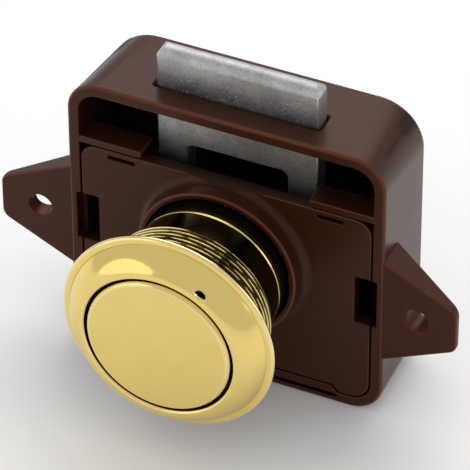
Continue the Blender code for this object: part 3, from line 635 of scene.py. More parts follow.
class Finish:
    """A material whose nodes are added one by one."""

    def __init__(self, name, **fixed):
        self.material = bpy.data.materials.new(name)
        self.material.use_nodes = True
        self.nodes = self.material.node_tree.nodes
        self.links = self.material.node_tree.links
        self.shader = self.nodes["Principled BSDF"]
        self.fill(self.shader, fixed)
        self.place = self.add("ShaderNodeTexCoord", {}, {}, "Object")

    def fill(self, node, sockets):
        for name, value in sockets.items():
            socket = node.inputs[name.replace("_", " ") if isinstance(name, str) else name]
            if isinstance(value, Signal):
                self.links.new(value.socket, socket)
            elif socket.type == "RGBA":
                socket.default_value = (*value, 1.0)[:4]
            else:
                socket.default_value = value

    def add(self, kind, settings, sockets, output=0):
        """Adds a node of a type, with its settings first and then its sockets' values or links."""
        node = self.nodes.new(kind)
        for name, value in settings.items():
            if name == "stops":
                ramp = node.color_ramp
                while len(ramp.elements) < len(value):
                    ramp.elements.new(0.5)
                for element, (position, shade) in zip(ramp.elements, value):
                    element.position = position
                    element.color = (shade, shade, shade, 1.0)
            else:
                setattr(node, name, value)
        self.fill(node, sockets)
        return Signal(self, node.outputs[output])

    def noise(self, size, detail=2.0, roughness=0.5, place=None):
        """Noise whose grains are about the given size."""
        return self.add(
            "ShaderNodeTexNoise", {},
            {
                "Vector": place or self.place, "Scale": 1.0 / size, "Detail": detail,
                "Roughness": roughness,
            },
        )

    def stretched(self, scale):
        """The place on the piece with its directions scaled, which draws noise out in lines."""
        return self.add("ShaderNodeMapping", {}, {"Vector": self.place, "Scale": scale})

    def ramp(self, value, *stops):
        """A value sent through grey stops, each a (position, shade) pair."""
        return self.add("ShaderNodeValToRGB", {"stops": stops}, {0: value})

    def mix(self, factor, first, second):
        return self.add(
            "ShaderNodeMix", {"data_type": "RGBA"}, {0: factor, 6: first, 7: second}, 2
        )

    def edges(self):
        """The share of an edge's rounding, which mark_edges stores."""
        return self.add("ShaderNodeAttribute", {"attribute_name": "edge"}, {}, "Fac")

    def grime(self):
        """The share of painted shade stored on each point."""
        return self.add("ShaderNodeAttribute", {"attribute_name": "grime"}, {}, "Fac")

    def relief(self, height, distance, strength=1.0):
        return self.add(
            "ShaderNodeBump", {}, {"Strength": strength, "Distance": distance, "Height": height}
        )

    def finish(self, **varied):
        self.fill(self.shader, varied)
        return self.material


def finish_by(make):
    """The finish that a function makes, which is made once and has the function's name."""
    name = make.__name__
    return bpy.data.materials.get(name) or make(name, bpy.context.scene.latch_finishes)


def moulded_plastic(name, looks):
    """Glossy dark brown moulded plastic: faint flow marks, a fine skin, painted reddish highlights
    along its edges and painted shade deep inside.
    """
    made = Finish(name, Specular_IOR_Level=0.27, Specular_Tint=(1.0, 0.57, 0.45))
    flow = made.noise(9 * MM, 3.0)
    skin = made.noise(0.35 * MM, 2.0)
    waves = made.noise(2.5 * MM, 2.0)
    dust = made.ramp(made.noise(0.9 * MM, 4.0, 0.7), (0.6, 0.0), (0.78, 1.0))
    tone = made.mix(flow * 0.45, looks.plastic, [value * 1.5 for value in looks.plastic])
    # painted highlight: a reddish glow laid on the rounded edges
    tone = made.mix(made.edges() * 0.75, tone, looks.plastic_edge)
    tone = made.mix(dust * 0.04, tone, looks.plastic_dust)
    # painted shade: darker deep in the case and on the cover's back
    tone = made.mix(made.grime() * 0.85, tone, looks.plastic_shade)
    return made.finish(
        Base_Color=tone,
        Roughness=looks.plastic_gloss - 0.05 + 0.12 * flow + 0.05 * dust + 0.3 * made.grime(),
        Normal=made.relief(skin * 0.35 + waves, 0.012 * MM),
    )


def plated_gold(name, looks):
    """Polished gold plating: almost a mirror, with faint haze, fine wiping marks, few pits, painted
    pale highlights on its edges and painted shade in its hollows and on the barrel.
    """
    made = Finish(name, Metallic=1.0)
    haze = made.noise(5 * MM, 3.0)
    wipes = made.noise(0.6 * MM, 2.0, place=made.stretched((1.0, 1.0, 0.12)))
    pits = made.ramp(made.noise(0.7 * MM, 1.0), (0.15, 1.0), (0.2, 0.0))
    waves = made.noise(6 * MM, 1.0)
    tone = made.mix(made.ramp(haze, (0.45, 0.0), (0.75, 1.0)) * 0.25, looks.gold, looks.gold_deep)
    tone = made.mix(pits * 0.5, tone, looks.gold_pit)
    # painted highlight: paler gold on the rounded edges
    tone = made.mix(made.edges() * 0.3, tone, looks.gold_edge)
    # painted shade: the thread's roots, the key hole, the bore and the cap's barrel
    tone = made.mix(made.grime() * 0.95, tone, looks.gold_shade)
    return made.finish(
        Base_Color=tone,
        Roughness=(
            looks.gold_gloss - 0.02 + 0.05 * haze + 0.03 * wipes + 0.2 * pits + 0.06 * made.grime()
        ),
        Normal=made.relief(waves - pits * 0.4 + wipes * 0.02, 0.02 * MM),
    )


def cast_zinc(name, looks):
    """Plain die-cast zinc: a grainy grey skin with darker grains, brighter worn edges and painted
    shade where the bolt enters the case.
    """
    made = Finish(name, Metallic=1.0)
    grain = made.noise(0.45 * MM, 3.0, 0.65)
    fine = made.noise(0.16 * MM, 2.0, 0.6)
    stain = made.noise(4 * MM, 3.0, 0.6)
    crystals = made.add(
        "ShaderNodeTexVoronoi", {}, {"Vector": made.place, "Scale": 1 / (0.5 * MM)}
    )
    dark = made.ramp(grain * 0.7 + fine * 0.3, (0.36, 1.0), (0.5, 0.0))
    worn = made.ramp(stain, (0.35, 0.0), (0.65, 1.0))
    tone = made.mix(dark * 0.35, looks.zinc, looks.zinc_dark)
    tone = made.mix(worn * 0.25, tone, looks.zinc_dark)
    # painted shade: darker where the tongue enters the case, fainter on its nose and plate
    tone = made.mix(made.grime() * (0.5 + 0.3 * worn), tone, looks.zinc_dark)
    tone = made.mix(made.edges() * 0.45, tone, looks.zinc_edge)
    # the coarse black and bright grains lie only where the painted shade is
    painted_shade_zone = made.ramp(made.grime(), (0.14, 0.0), (0.4, 1.0))
    patch = made.ramp(made.noise(2.2 * MM, 2.0), (0.42, 0.0), (0.6, 1.0)) * painted_shade_zone
    black = made.ramp(made.noise(0.3 * MM, 1.0), (0.3, 1.0), (0.36, 0.0)) * patch
    bright = made.ramp(made.noise(0.27 * MM, 1.0), (0.66, 0.0), (0.7, 1.0)) * patch
    tone = made.mix(black * 0.85, tone, looks.zinc_black)
    tone = made.mix(bright * 0.9, tone, looks.zinc_bright)
    return made.finish(
        Base_Color=tone,
        Roughness=0.3 + 0.16 * grain + 0.12 * stain - 0.1 * made.edges() + 0.12 * made.grime(),
        Normal=made.relief(grain * 0.6 + fine * 0.4 + crystals * 0.2, 0.06 * MM, 0.8),
    )


def bright_steel(name, looks):
    """Drawn spring steel: fine draw lines and a few oil stains."""
    made = Finish(name, Metallic=1.0)
    lines = made.noise(0.12 * MM, 2.0, place=made.stretched((1.0, 0.15, 1.0)))
    stain = made.noise(1.8 * MM, 3.0)
    stained = made.ramp(stain, (0.5, 0.0), (0.7, 1.0))
    tone = made.mix(stained * 0.4, looks.steel, looks.steel_stain)
    return made.finish(
        Base_Color=tone,
        Roughness=0.2 + 0.15 * lines + 0.1 * stain,
        Normal=made.relief(lines, 0.006 * MM),
    )


def waxy_acetal(name, looks):
    """Black acetal: a waxy sheen with a fine skin and lighter rubbed edges."""
    made = Finish(name, Specular_IOR_Level=0.12, Specular_Tint=(1.0, 0.6, 0.5))
    skin = made.noise(0.3 * MM, 2.0)
    rub = made.noise(1.6 * MM, 4.0, 0.65)
    tone = made.mix(rub * 0.35, looks.acetal, looks.acetal_rub)
    tone = made.mix(made.edges() * 0.35, tone, looks.acetal_edge)
    return made.finish(
        Base_Color=tone,
        Roughness=0.2 + 0.14 * rub,
        Normal=made.relief(skin * 0.4 + rub * 0.6, 0.012 * MM),
    )


# Pieces


def case_inside(sizes):
    """The inner faces of the case: its right side, its bottom and its floor."""
    return sizes.width / 2 - sizes.wall, -sizes.below + sizes.wall, sizes.depth - sizes.wall


def case_outline(sizes, shrink, radius):
    half = sizes.width / 2 - shrink
    top, bottom = sizes.above - shrink, -sizes.below + shrink
    low = sizes.corner - shrink
    return round_corners(
        [(half, top, radius), (-half, top, radius), (-half, bottom, low), (half, bottom, low)], 13
    )


def window_top(cover, side):
    drop = cover.window_drop_right if side > 0 else cover.window_drop_left
    return cover.window_height / 2 - drop


def boss_top(catch):
    """Height of the top of the boss that holds the catch wire and the leaf spring's screw."""
    return -catch.height - catch.wire - catch.boss_gap


def groove(surface, floor, first, last):
    """The four points of a square groove in a turned profile."""
    return [(surface, first), (floor, first), (floor, last), (surface, last)]


def make_tub(sizes):
    """The case without its ribs: a thin-walled tub with rounded edges."""
    def ring(shrink, depth, radius):
        return [(x, depth, z) for x, z in case_outline(sizes, shrink, radius)]

    def inner(grow, depth):
        inside = sizes.wall - grow
        return ring(inside, depth, sizes.corner - inside)

    _, _, floor = case_inside(sizes)
    back, rim, rib = sizes.back_edge, sizes.rim_edge, sizes.rib_edge
    rings = []
    for shrink, advance in edge_steps(7):
        rings.append(ring(
            sizes.draft + back * shrink, sizes.depth - back * advance,
            sizes.back_corner - back * shrink,
        ))
    rows = 6
    for step in range(1, rows):
        part = 1 - step / rows
        radius = sizes.corner + (sizes.back_corner - sizes.corner) * part
        rings.append(ring(sizes.draft * part, (sizes.depth - back) * part, radius))
    for shrink, advance in reversed(edge_steps(5)):
        rings.append(ring(rim * shrink, rim * advance, sizes.corner - rim * shrink))
    for shrink, advance in edge_steps():
        rings.append(inner(rib * shrink, rib * advance))
    for shrink, advance in reversed(edge_steps()):
        rings.append(inner(-rib * shrink, floor - rib * advance))
    return loft("tub", rings)


def make_ear(sizes, side):
    """A tapered screw ear, just behind the case's front and thinner towards its tip."""
    half, tip, bury = sizes.width / 2, sizes.ear_span / 2, 0.9 * sizes.rim_edge
    drop = sizes.ear_drop_right if side > 0 else sizes.ear_drop_left
    thick = sizes.ear_thick_right if side > 0 else sizes.ear_thick_left
    slope = (sizes.ear_root - sizes.ear_tip) / (tip - half)
    root, root_half = half - bury, sizes.ear_root + slope * bury
    outline = round_corners([
        (side * root, -drop - root_half, 0),
        (side * tip, -drop - sizes.ear_tip, sizes.ear_tip_radius),
        (side * tip, -drop + sizes.ear_tip, sizes.ear_tip_radius),
        (side * root, -drop + root_half, 0),
    ])
    thinning = (thick - sizes.ear_thin) / (tip - half)
    ear = plate(
        "ear", outline, sizes.ear_step, lambda x: thick - thinning * (abs(x) - half), sizes.ear_edge
    )
    centre = (side * sizes.ear_hole_reach, sizes.ear_hole_rise - drop)
    edge = sizes.ear_hole_edge
    hole = opening("ear_hole", circle(centre, sizes.ear_hole, 48), [
        (-edge, 2 * edge), (0, edge), (edge * 0.3, edge * 0.45), (edge, 0), (thick + edge, 0),
    ])
    return carve(ear, hole)


class LATCH_OT_case(bpy.types.Operator):
    """Makes the moulded case with its ears, shelves, ribs and the boss of the catch wire"""

    bl_idname = "latch.case"
    bl_label = "Moulded case"

    def execute(self, context):
        scene = context.scene
        sizes, cover = scene.latch_case, scene.latch_cover
        side_wall, bottom, floor = case_inside(sizes)
        tub = make_tub(sizes)
        pockets = [self.rim_pocket(cover, side, side_wall) for side in (1, -1)]
        carve(tub, self.bolt_slot(sizes, cover, scene.latch_bolt), *pockets)
        case = joined(
            "case_moulding", tub, make_ear(sizes, 1), make_ear(sizes, -1),
            *self.side_ribs(scene, 1), *self.side_ribs(scene, -1), self.sill(sizes, cover),
            self.spring_post(sizes, floor), self.boss(sizes, scene.latch_catch),
        )
        hair, shade_start, shade_end = 0.1 * MM, 0.8 * MM, 7 * MM

        def grime(x, y, z):
            """Painted shade: darker towards the case's floor, but only inside its walls."""
            out = max(abs(x) - side_wall, z - sizes.above + sizes.wall, bottom - z)
            return fade(y, shade_start, shade_end) if out < hair else 0.0

        dress(case, "case", moulded_plastic, ["case_shell"], grime=grime)
        return {"FINISHED"}

    def bolt_slot(self, sizes, cover, bolt):
        """The cutter of the bolt's slot in the case's top, with a flared mouth."""
        half = bolt.width / 2 + cover.gap
        front, back = bolt.front - cover.gap, bolt.front + bolt.thickness + cover.gap
        top, deep, mouth, flare = sizes.above - sizes.draft / 2, 3 * MM, 0.35 * MM, 0.3 * MM
        return opening(
            "bolt_slot", rounded_rectangle(-half, half, front, back, flare, 4),
            [(top - deep, 0), (top - mouth, 0), (top, flare), (top + PAST, flare + 0.9 * PAST)],
            upward,
        )

    def rim_pocket(self, cover, side, side_wall):
        """The cutter of the pocket in the rim beside a snap window."""
        high, soft, past_side = window_top(cover, side), cover.window_corner, 0.6 * MM
        left, right = span(side, side_wall - past_side, side_wall + cover.window_pocket)
        return opening(
            "rim_pocket", rounded_rectangle(left, right, high - cover.window_height, high, soft, 3),
            [(-PAST, PAST + soft / 3), (soft, 0), (cover.thickness, 0)],
        )

    def side_ribs(self, scene, side):
        """The shelf, the bolt's guide, the rail behind the bolt and the catch rib of one side."""
        sizes, cover, bolt = scene.latch_case, scene.latch_cover, scene.latch_bolt
        side_wall, bottom, floor = case_inside(sizes)
        far, foot = side_wall + sizes.wall / 2, bottom - sizes.wall / 2
        deep, edge, proud = floor + sizes.wall / 2, sizes.rib_edge, 0.005 * MM
        channel, rail = bolt.width / 2 + cover.gap, scene.latch_button.core_width + cover.gap
        shelf_bottom, high = cover.shelf - cover.shelf_thickness, window_top(cover, side)
        return [
            side_block(
                "shelf", side, channel + cover.gap, far, -proud, cover.shelf_depth,
                shelf_bottom, cover.shelf, edge,
            ),
            side_block(
                "bolt_guide", side, channel, channel + sizes.guide, bolt.front, deep, foot,
                shelf_bottom - cover.thickness, edge,
            ),
            side_block(
                "rear_rail", side, rail, rail + sizes.rail, bolt.front + bolt.thickness + cover.gap,
                deep, foot, sizes.rail_top, edge,
            ),
            side_block(
                "catch_rib", side, side_wall - sizes.rib_reach, far, sizes.rib_front,
                sizes.rib_back, high - cover.leg_height, high, edge,
            ),
        ]

    def sill(self, sizes, cover):
        """The low bar along the bottom that the cover stands on, with sloping ends."""
        side_wall, bottom, _ = case_inside(sizes)
        half = side_wall - cover.gap - cover.sill_inset
        wide, foot = half + cover.sill_slope, bottom - sizes.wall / 2
        top, edge = bottom + cover.sill_height, sizes.rib_edge * 0.7
        outline = [
            (-wide, foot), (wide, foot), (wide, bottom), (half, top), (-half, top), (-wide, bottom)
        ]
        return plate("cover_sill", outline, 0, cover.thickness + cover.gap, edge)

    def spring_post(self, sizes, floor):
        """The post that stands in the return spring, with a soft tip and a fillet at its foot."""
        post, tip = sizes.post, floor - sizes.post_reach
        soft, fillet, heel, bury = 0.4 * MM, 0.3 * MM, 0.08 * MM, 0.9 * MM
        return turned("spring_post", [
            (0, tip), (post - soft, tip), (post - soft / 4, tip + soft * 0.3), (post, tip + soft),
            (post, floor - fillet), (post + fillet / 3, floor - heel), (post + fillet, floor),
            (post + fillet, floor + bury), (0, floor + bury),
        ], 48)

    def boss(self, sizes, catch):
        """The boss that holds the catch wire, with a second hole for the leaf spring's screw."""
        _, _, floor = case_inside(sizes)
        top, slack, chamfer, past = boss_top(catch), 0.1 * MM, 0.15 * MM, 0.2 * MM
        boss = block(
            "catch_boss", (-catch.boss_left, floor - catch.boss_depth, top - catch.boss_height),
            (catch.boss_right, floor + sizes.wall / 2, top), sizes.rib_edge,
        )
        holes = [
            opening(
                "boss_hole", circle((x, catch.pivot), radius + slack, 32),
                [(top - deep, 0), (top - chamfer, 0), (top + past, chamfer + past)], upward,
            )
            for x, radius, deep in (
                (0, catch.wire, catch.leg), (catch.screw_place, catch.screw, catch.screw_hole)
            )
        ]
        return carve(boss, *holes)


def cover_edges(case, cover):
    """Half the cover's width, its bottom and its top."""
    side_wall, bottom, _ = case_inside(case)
    return (
        side_wall - cover.gap, bottom + cover.gap,
        cover.shelf - cover.shelf_thickness - cover.gap,
    )


def cover_outline(case, cover):
    half, bottom, top = cover_edges(case, cover)
    corner, sill, soft = case.corner - case.wall - cover.gap, bottom + cover.sill_height, 0.3 * MM
    step = half - cover.sill_inset + cover.gap
    foot = step + cover.sill_slope
    return round_corners([
        (half, bottom, corner), (half, top, cover.corner),
        (-half, top, cover.corner), (-half, bottom, corner),
        (-foot, bottom, soft), (-step, sill, soft), (step, sill, soft), (foot, bottom, soft),
    ], 9)


class LATCH_OT_cover(bpy.types.Operator):
    """Makes the front cover with its collar, snap windows, tab slots and snap legs"""

    bl_idname = "latch.cover"
    bl_label = "Front cover"

    def execute(self, context):
        scene = context.scene
        cover = scene.latch_cover
        half, _, top = cover_edges(scene.latch_case, cover)
        panel = plate(
            "panel", cover_outline(scene.latch_case, cover), 0, cover.thickness, cover.edge
        )
        bore = circle((0, 0), cover.bore + cover.collar_lip / 2, 128)
        cutters, legs = [opening("bore", bore, through(0, cover.thickness))], []
        for side in (1, -1):
            cutters += [self.window(cover, side, half), self.tab_slot(cover, side, top)]
            legs += [
                self.snap_leg(cover, side, half - cover.window_width),
                self.tab_leg(cover, side, top), self.bolt_pad(cover, scene.latch_bolt, side, top),
            ]
        carve(panel, *cutters)
        piece = joined("cover_moulding", panel, self.collar(cover, top), *legs)
        # painted shade: the cover darkens towards its back and on the legs behind it
        shade_start, shade_end = 0.3 * MM, 2 * MM
        dress(
            piece, "case", moulded_plastic, ["front_cover"],
            grime=lambda x, y, z: fade(y, shade_start, shade_end),
        )
        return {"FINISHED"}

    def window(self, cover, side, half):
        """The cutter of a snap window, open to the cover's side."""
        past_side, high, soft = 0.6 * MM, window_top(cover, side), cover.window_corner
        left, right = span(side, half - cover.window_width, half + past_side)
        return opening(
            "window", rounded_rectangle(left, right, high - cover.window_height, high, soft, 3),
            through(0, cover.thickness, cover.edge),
        )

    def tab_slot(self, cover, side, top):
        """The cutter of a narrow slot along the cover's top."""
        middle, half, soft = side * cover.slot_reach, cover.slot_length / 2, 0.12 * MM
        high = top - cover.slot_drop
        low = high - cover.slot_height
        return opening(
            "tab_slot", rounded_rectangle(middle - half, middle + half, low, high, soft, 3),
            through(0, cover.thickness, soft),
        )

    def bolt_pad(self, cover, bolt, side, top):
        """A pad behind the cover that keeps the bolt in its channel."""
        near, edge = bolt.window + bolt.lug + 4 * cover.gap, 0.2 * MM
        return side_block(
            "bolt_pad", side, near, near + cover.pad, cover.thickness * ROOTED,
            bolt.front - cover.gap, -bolt.window_bottom, top - cover.thickness, edge,
        )

    def collar(self, cover, top):
        """A short tube round the button with a rounded lip and a fillet at its foot."""
        bore, lip, stand = cover.bore, cover.bore + cover.collar_lip, -cover.collar_height
        soft, fillet = cover.collar_round, cover.collar_fillet
        hair, heel = 0.01 * MM, 0.5 * MM
        back, reach = cover.thickness + hair, lip + fillet + PAST
        collar = turned("collar", (
            [(bore, back)]
            + arc((bore + soft / 2, stand + soft / 2), soft / 2, 180, 270, 5)
            + arc((lip - soft, stand + soft), soft, -90, 0, 7)
            + arc((lip + fillet, -fillet), fillet, 180, 90, 11)
            + [(lip + fillet, heel), (lip, back)]
        ))
        trim = block(
            "trim", (-reach, stand - PAST, top - 2 * hair),
            (reach, cover.thickness + PAST, reach + PAST), hair,
        )
        return carve(collar, trim)

    def snap_leg(self, cover, side, inner):
        """A leg beside a snap window, with a hook behind the case's catch rib."""
        slack, edge, hook_round, end_round = 0.1 * MM, 0.15 * MM, 0.2 * MM, 0.3 * MM
        root, hook, end = cover.thickness * ROOTED, cover.leg_hook, cover.leg_end
        outer = inner - slack
        near, high = outer - cover.leg_thickness, window_top(cover, side)
        outline = [
            (near, root, 0), (outer, root, 0), (outer, hook, edge),
            (outer + cover.hook_reach, hook, hook_round), (outer, end, end_round),
            (near, end, end_round),
        ]
        return plate(
            "snap_leg", round_corners([(side * x, y, radius) for x, y, radius in outline], 4),
            high - cover.leg_height, high, edge, upward,
        )

    def tab_leg(self, cover, side, top):
        """A leg along the cover's top, with a lip behind the case's shelf."""
        root, front = cover.thickness * ROOTED, cover.shelf_depth + cover.gap
        back, under, over, lip = front + 1.4 * MM, top - 0.8 * MM, top - 0.1 * MM, top + MM
        soft, middle, half = 0.1 * MM, side * cover.slot_reach, 1.7 * MM
        outline = round_corners([
            (root, under, 0), (back, under, 2 * soft), (back, top, soft), (front, lip, 1.5 * soft),
            (front, over, soft), (root, over, 0),
        ], 4)
        return plate("tab_leg", outline, middle - half, middle + half, soft, sideways)


class LATCH_OT_ring(bpy.types.Operator):
    """Makes the ring with its domed front, key hole and threaded sleeve"""

    bl_idname = "latch.ring"
    bl_label = "Threaded ring"

    def execute(self, context):
        scene = context.scene
        sizes, bore = scene.latch_ring, scene.latch_cover.bore
        ring = turned(
            "ring_piece", self.front(sizes, bore) + self.sleeve(sizes, bore), 192,
            lambda *place: self.thread(sizes, *place),
        )
        front, mouth, relief = -sizes.edge, -sizes.edge + sizes.key_mouth, sizes.root + sizes.relief
        end = front + sizes.key_depth
        rounding = ((-1.2 * MM, 0.5 * MM), (-0.3 * MM, 0.2 * MM), (0, 0.03 * MM), (0.2 * MM, 0))
        stations = [(mouth + along, flare) for along, flare in rounding]
        stations += [(end - 0.2 * MM, 0), (end, -0.3 * MM)]
        carve(ring, opening("key_hole", self.key_outline(sizes), stations))
        hair, bright, groove_floor = 0.02 * MM, 0.3 * MM, -sizes.back - sizes.relief_depth
        key_shade, bore_shade = (0.05 * MM, 0.5 * MM), (0.5 * MM, 2 * MM)

        def grime(x, y, z):
            """Painted shade in the thread's root, down the key hole and inside the bore."""
            reach = math.hypot(x, z)
            if self.in_key_hole(sizes, x, z, hair):
                return fade(y - mouth, *key_shade)
            if y > groove_floor - hair and bore + bright < reach < relief:
                return 1 - fade(reach - sizes.root, sizes.thread * 0.5, sizes.thread)
            return fade(y - front, *bore_shade) if reach < bore + hair else 0.0

        dress(
            ring, "ring", plated_gold, ["rosette"], angle=50, grime=grime
        )
        return {"FINISHED"}

    def front(self, sizes, bore):
        """The domed front, from inside the bore round to the rim's back."""
        front, back, half_rim, soft, steps = -sizes.edge, -sizes.back, sizes.rim / 2, 0.4 * MM, 22
        lip, rim = bore + sizes.lip, sizes.radius - sizes.rim_width
        fall = back - sizes.rim - front
        points = [(bore, front + 3 * soft), (bore, front + soft + 0.05 * MM)]
        points += arc((bore + soft, front + soft), soft, 180, 270, 7)
        for step in range(1, steps):
            part = step / steps
            swell = sizes.dome * 4 * part * (1 - part)
            points.append((lip + (rim - lip) * part + swell * 0.5, front + fall * part - swell))
        points.append((rim, front + fall))
        return points + arc((sizes.radius - half_rim, back - half_rim), half_rim, -90, 90, 11)

    def sleeve(self, sizes, bore):
        """The groove in the ring's back, the rows that the thread stands on, and the far end."""
        back, root, relief = -sizes.back, sizes.root, sizes.root + sizes.relief
        bottom, end = back - sizes.relief_depth, back + sizes.sleeve
        chamfer, soft, lead, rows = 0.28 * MM, 0.1 * MM, 0.2 * MM, 150
        height = sizes.sleeve - chamfer
        return (
            [(relief + soft, back), (relief, back - soft * 0.4), (relief - soft * 0.8, bottom)]
            + [(root, bottom)]
            + [(root, back + height * row / rows) for row in range(1, rows + 1)]
            + [(root - chamfer, end), (bore + lead * 0.75, end)]
            + [(bore + lead * 0.2, end - lead * 0.25), (bore, end - lead)]
        )

    def thread(self, sizes, turn, radius, depth):
        """How far the thread stands out, which is nothing off the sleeve's root."""
        pitch, root_flat, flank, tiny = sizes.pitch, 0.15, 0.75, 0.0001 * MM
        start = -sizes.back + pitch * 0.3
        stop = -sizes.back + sizes.sleeve - pitch * 0.3
        if abs(radius - sizes.root) > tiny or not start < depth < stop:
            return 0
        phase = (depth / pitch + turn / math.tau) % 1
        ridge = min(max((1 - abs(2 * phase - 1) - root_flat) / flank, 0), 1)
        ends = min(1, (depth - start) / pitch * 2, (stop - depth) / pitch * 2)
        return sizes.thread * ridge * ends

    def key_outline(self, sizes):
        """The key hole's outline, narrow across the ring and long along it."""
        return [
            turned_by(sizes.key_circle + a * sizes.key_across, b * sizes.key_along, sizes.key_turn)
            for a, b in circle((0, 0), 1.0, 32)
        ]

    def in_key_hole(self, sizes, x, z, grow):
        """Says whether a point lies in the key hole's outline, grown a little."""
        a, b = turned_by(x, z, -sizes.key_turn)
        across, along = sizes.key_across + grow, sizes.key_along + grow
        return math.hypot((a - sizes.key_circle) / across, b / along) < 1


class LATCH_OT_button(bpy.types.Operator):
    """Makes the gold button cap and the wire ring that holds it on the plunger"""

    bl_idname = "latch.button"
    bl_label = "Button cap"

    def execute(self, context):
        sizes = context.scene.latch_button
        radius, inner = sizes.radius, sizes.radius - sizes.wall
        face, rear, snap = -sizes.face, -sizes.rear, -sizes.snap_stand
        ceiling = face + sizes.face_thickness
        slot_floor, slot_half = inner + 0.65 * MM, sizes.snap_wire + sizes.snap_slack
        rim, bead, soft, lead, fillet = 0.55 * MM, 0.1 * MM, 0.35 * MM, 0.15 * MM, 0.4 * MM
        shade_start, shade_end, shade_stop = -14 * MM, -12.5 * MM, rear - rim
        barrel_rows = (face + 3 * MM, shade_start, shade_end, shade_stop - 0.2 * MM, shade_stop)
        cap = turned("button_cap", (
            [(0, face), (radius * 0.35, face), (radius * 0.7, face)]
            + arc((radius - sizes.edge, face + sizes.edge), sizes.edge, -90, 0, 11)
            + [(radius, row) for row in barrel_rows]
            + [(radius + bead / 2, shade_stop + bead)]
            + arc((radius + bead - soft, rear - soft), soft, 0, 90, 7)
            + [(inner + lead, rear), (inner, rear - lead)]
            + groove(inner, slot_floor, snap + slot_half, snap - slot_half)
            + [(inner, ceiling + fillet), (inner - fillet, ceiling), (0, ceiling)]
        ), 192)
        # dark and haze are shares of painted shade
        near, dark, haze = 0.05 * MM, 0.94, 0.03

        def grime(x, y, z):
            """Painted shade on the barrel between the ring and the cap's rear rim, which stays
            bright, and a faint painted shade on the rest of the cap.
            """
            on_barrel = math.hypot(x, z) > radius - near and y < shade_stop - 2 * near
            return dark * fade(y, shade_start, shade_end) if on_barrel else haze

        dress(
            cap, "button", plated_gold, ["knob_cap"], angle=40, grime=grime
        )
        gap = 24
        route = [(x, snap, z) for x, z in arc((0, 0), sizes.snap_radius, gap, 360 - gap, 73)]
        wire = tube("snap_ring", route, sizes.snap_wire)
        dress(wire, "button", bright_steel, ["knob_snap_ring"])
        return {"FINISHED"}


class LATCH_OT_plunger(bpy.types.Operator):
    """Makes the plunger with its flange, drive grooves, heart track and spring bore"""

    bl_idname = "latch.plunger"
    bl_label = "Plunger"

    def execute(self, context):
        scene = context.scene
        sizes = scene.latch_button
        wide, high = sizes.core_width, sizes.core_height
        edge, corner, bury = 0.25 * MM, 0.8 * MM, 0.6 * MM
        body = turned("plunger_body", self.profile(sizes))
        core = plate(
            "plunger_core", rounded_rectangle(-wide, wide, -high, high, corner, 6),
            -sizes.flange_back - bury, sizes.core_back, edge,
        )
        tracks = self.drive_grooves(sizes, scene.latch_bolt) + self.heart_track(
            sizes, scene.latch_catch
        )
        carve(body, self.spring_bore(sizes))
        carve(core, self.spring_bore(sizes), *tracks)
        plunger = joined("plunger_piece", body, core)
        dress(plunger, "button", waxy_acetal, ["plunger"])
        return {"FINISHED"}

    def profile(self, sizes):
        """The spigot in the cap with the snap ring's groove, and the flange behind it."""
        slack, lead, soft = 0.3 * MM, 0.8 * MM, 0.3 * MM
        spigot, flange = sizes.radius - sizes.wall - slack, sizes.flange - soft
        end = -sizes.face + sizes.face_thickness + 1.4 * MM
        front, back, snap = -sizes.rear + slack, -sizes.flange_back, -sizes.snap_stand
        slot_floor = sizes.snap_radius - sizes.snap_wire - sizes.snap_slack
        slot_half = sizes.snap_wire + sizes.snap_slack
        return (
            [(0, end), (spigot - lead, end), (spigot - lead * 0.25, end + lead * 0.3125)]
            + [(spigot, end + lead)]
            + groove(spigot, slot_floor, snap - slot_half, snap + slot_half)
            + [(spigot, front)]
            + arc((flange, front + soft), soft, -90, 0, 5)
            + arc((flange, back - soft), soft, 0, 90, 5)
            + [(0, back)]
        )

    def spring_bore(self, sizes):
        """The cutter of the return spring's bore, open at the core's back."""
        mouth, chamfer = sizes.core_back, 0.3 * MM
        return opening("spring_bore", circle((0, 0), sizes.spring_bore, 64), [
            (-sizes.spring_pocket, 0), (mouth - chamfer, 0), (mouth + PAST, PAST + chamfer),
        ])

    def drive_grooves(self, sizes, bolt):
        """The cutters of the slanting grooves for the pins, which move the bolt."""
        rise, slack = TRAVEL_IN * bolt.travel / TRAVEL_OUT, 0.25 * MM
        pressed = (bolt.pin_depth - TRAVEL_IN, bolt.pin_height + rise)
        pulled = (bolt.pin_depth + TRAVEL_OUT, bolt.pin_height - bolt.travel)
        route = self.slot(pressed, pulled, bolt.pin + slack)
        side_face, chamfer, flare = sizes.core_width, 0.15 * MM, 1.1 * MM
        depths = (
            (side_face - sizes.groove, 0), (side_face - chamfer, 0), (side_face + PAST, flare)
        )
        return [
            opening("drive_groove", route, [(side * x, grow) for x, grow in depths], sideways)
            for side in (1, -1)
        ]

    def heart_track(self, sizes, catch):
        """The cutters of the four lanes that the catch wire's tip goes round."""
        reach, tip, lane_half = 1.8 * MM, catch.tip, catch.wire + 0.35 * MM
        shoulder_reach, under, chamfer, flare = 2.4 * MM, -sizes.core_height, 0.1 * MM, 0.9 * MM
        near, far = tip - TRAVEL_IN, tip + TRAVEL_OUT
        top = (-reach * TRAVEL_IN / TRAVEL_OUT, near)
        low, bend = (reach, far), (reach, near)
        shoulder = (reach + shoulder_reach, tip + TRAVEL_OUT / 4)
        stations = [(under - PAST, flare), (under + chamfer, 0), (under + sizes.track_depth, 0)]
        return [
            opening("heart_lane", self.slot(first, second, lane_half), stations, upward)
            for first, second in ((top, low), (low, shoulder), (shoulder, bend), (bend, top))
        ]

    def slot(self, start, end, radius):
        heading = math.degrees(math.atan2(end[1] - start[1], end[0] - start[0]))
        return arc(end, radius, heading - 90, heading + 90, 9) + arc(
            start, radius, heading + 90, heading + 270, 9
        )


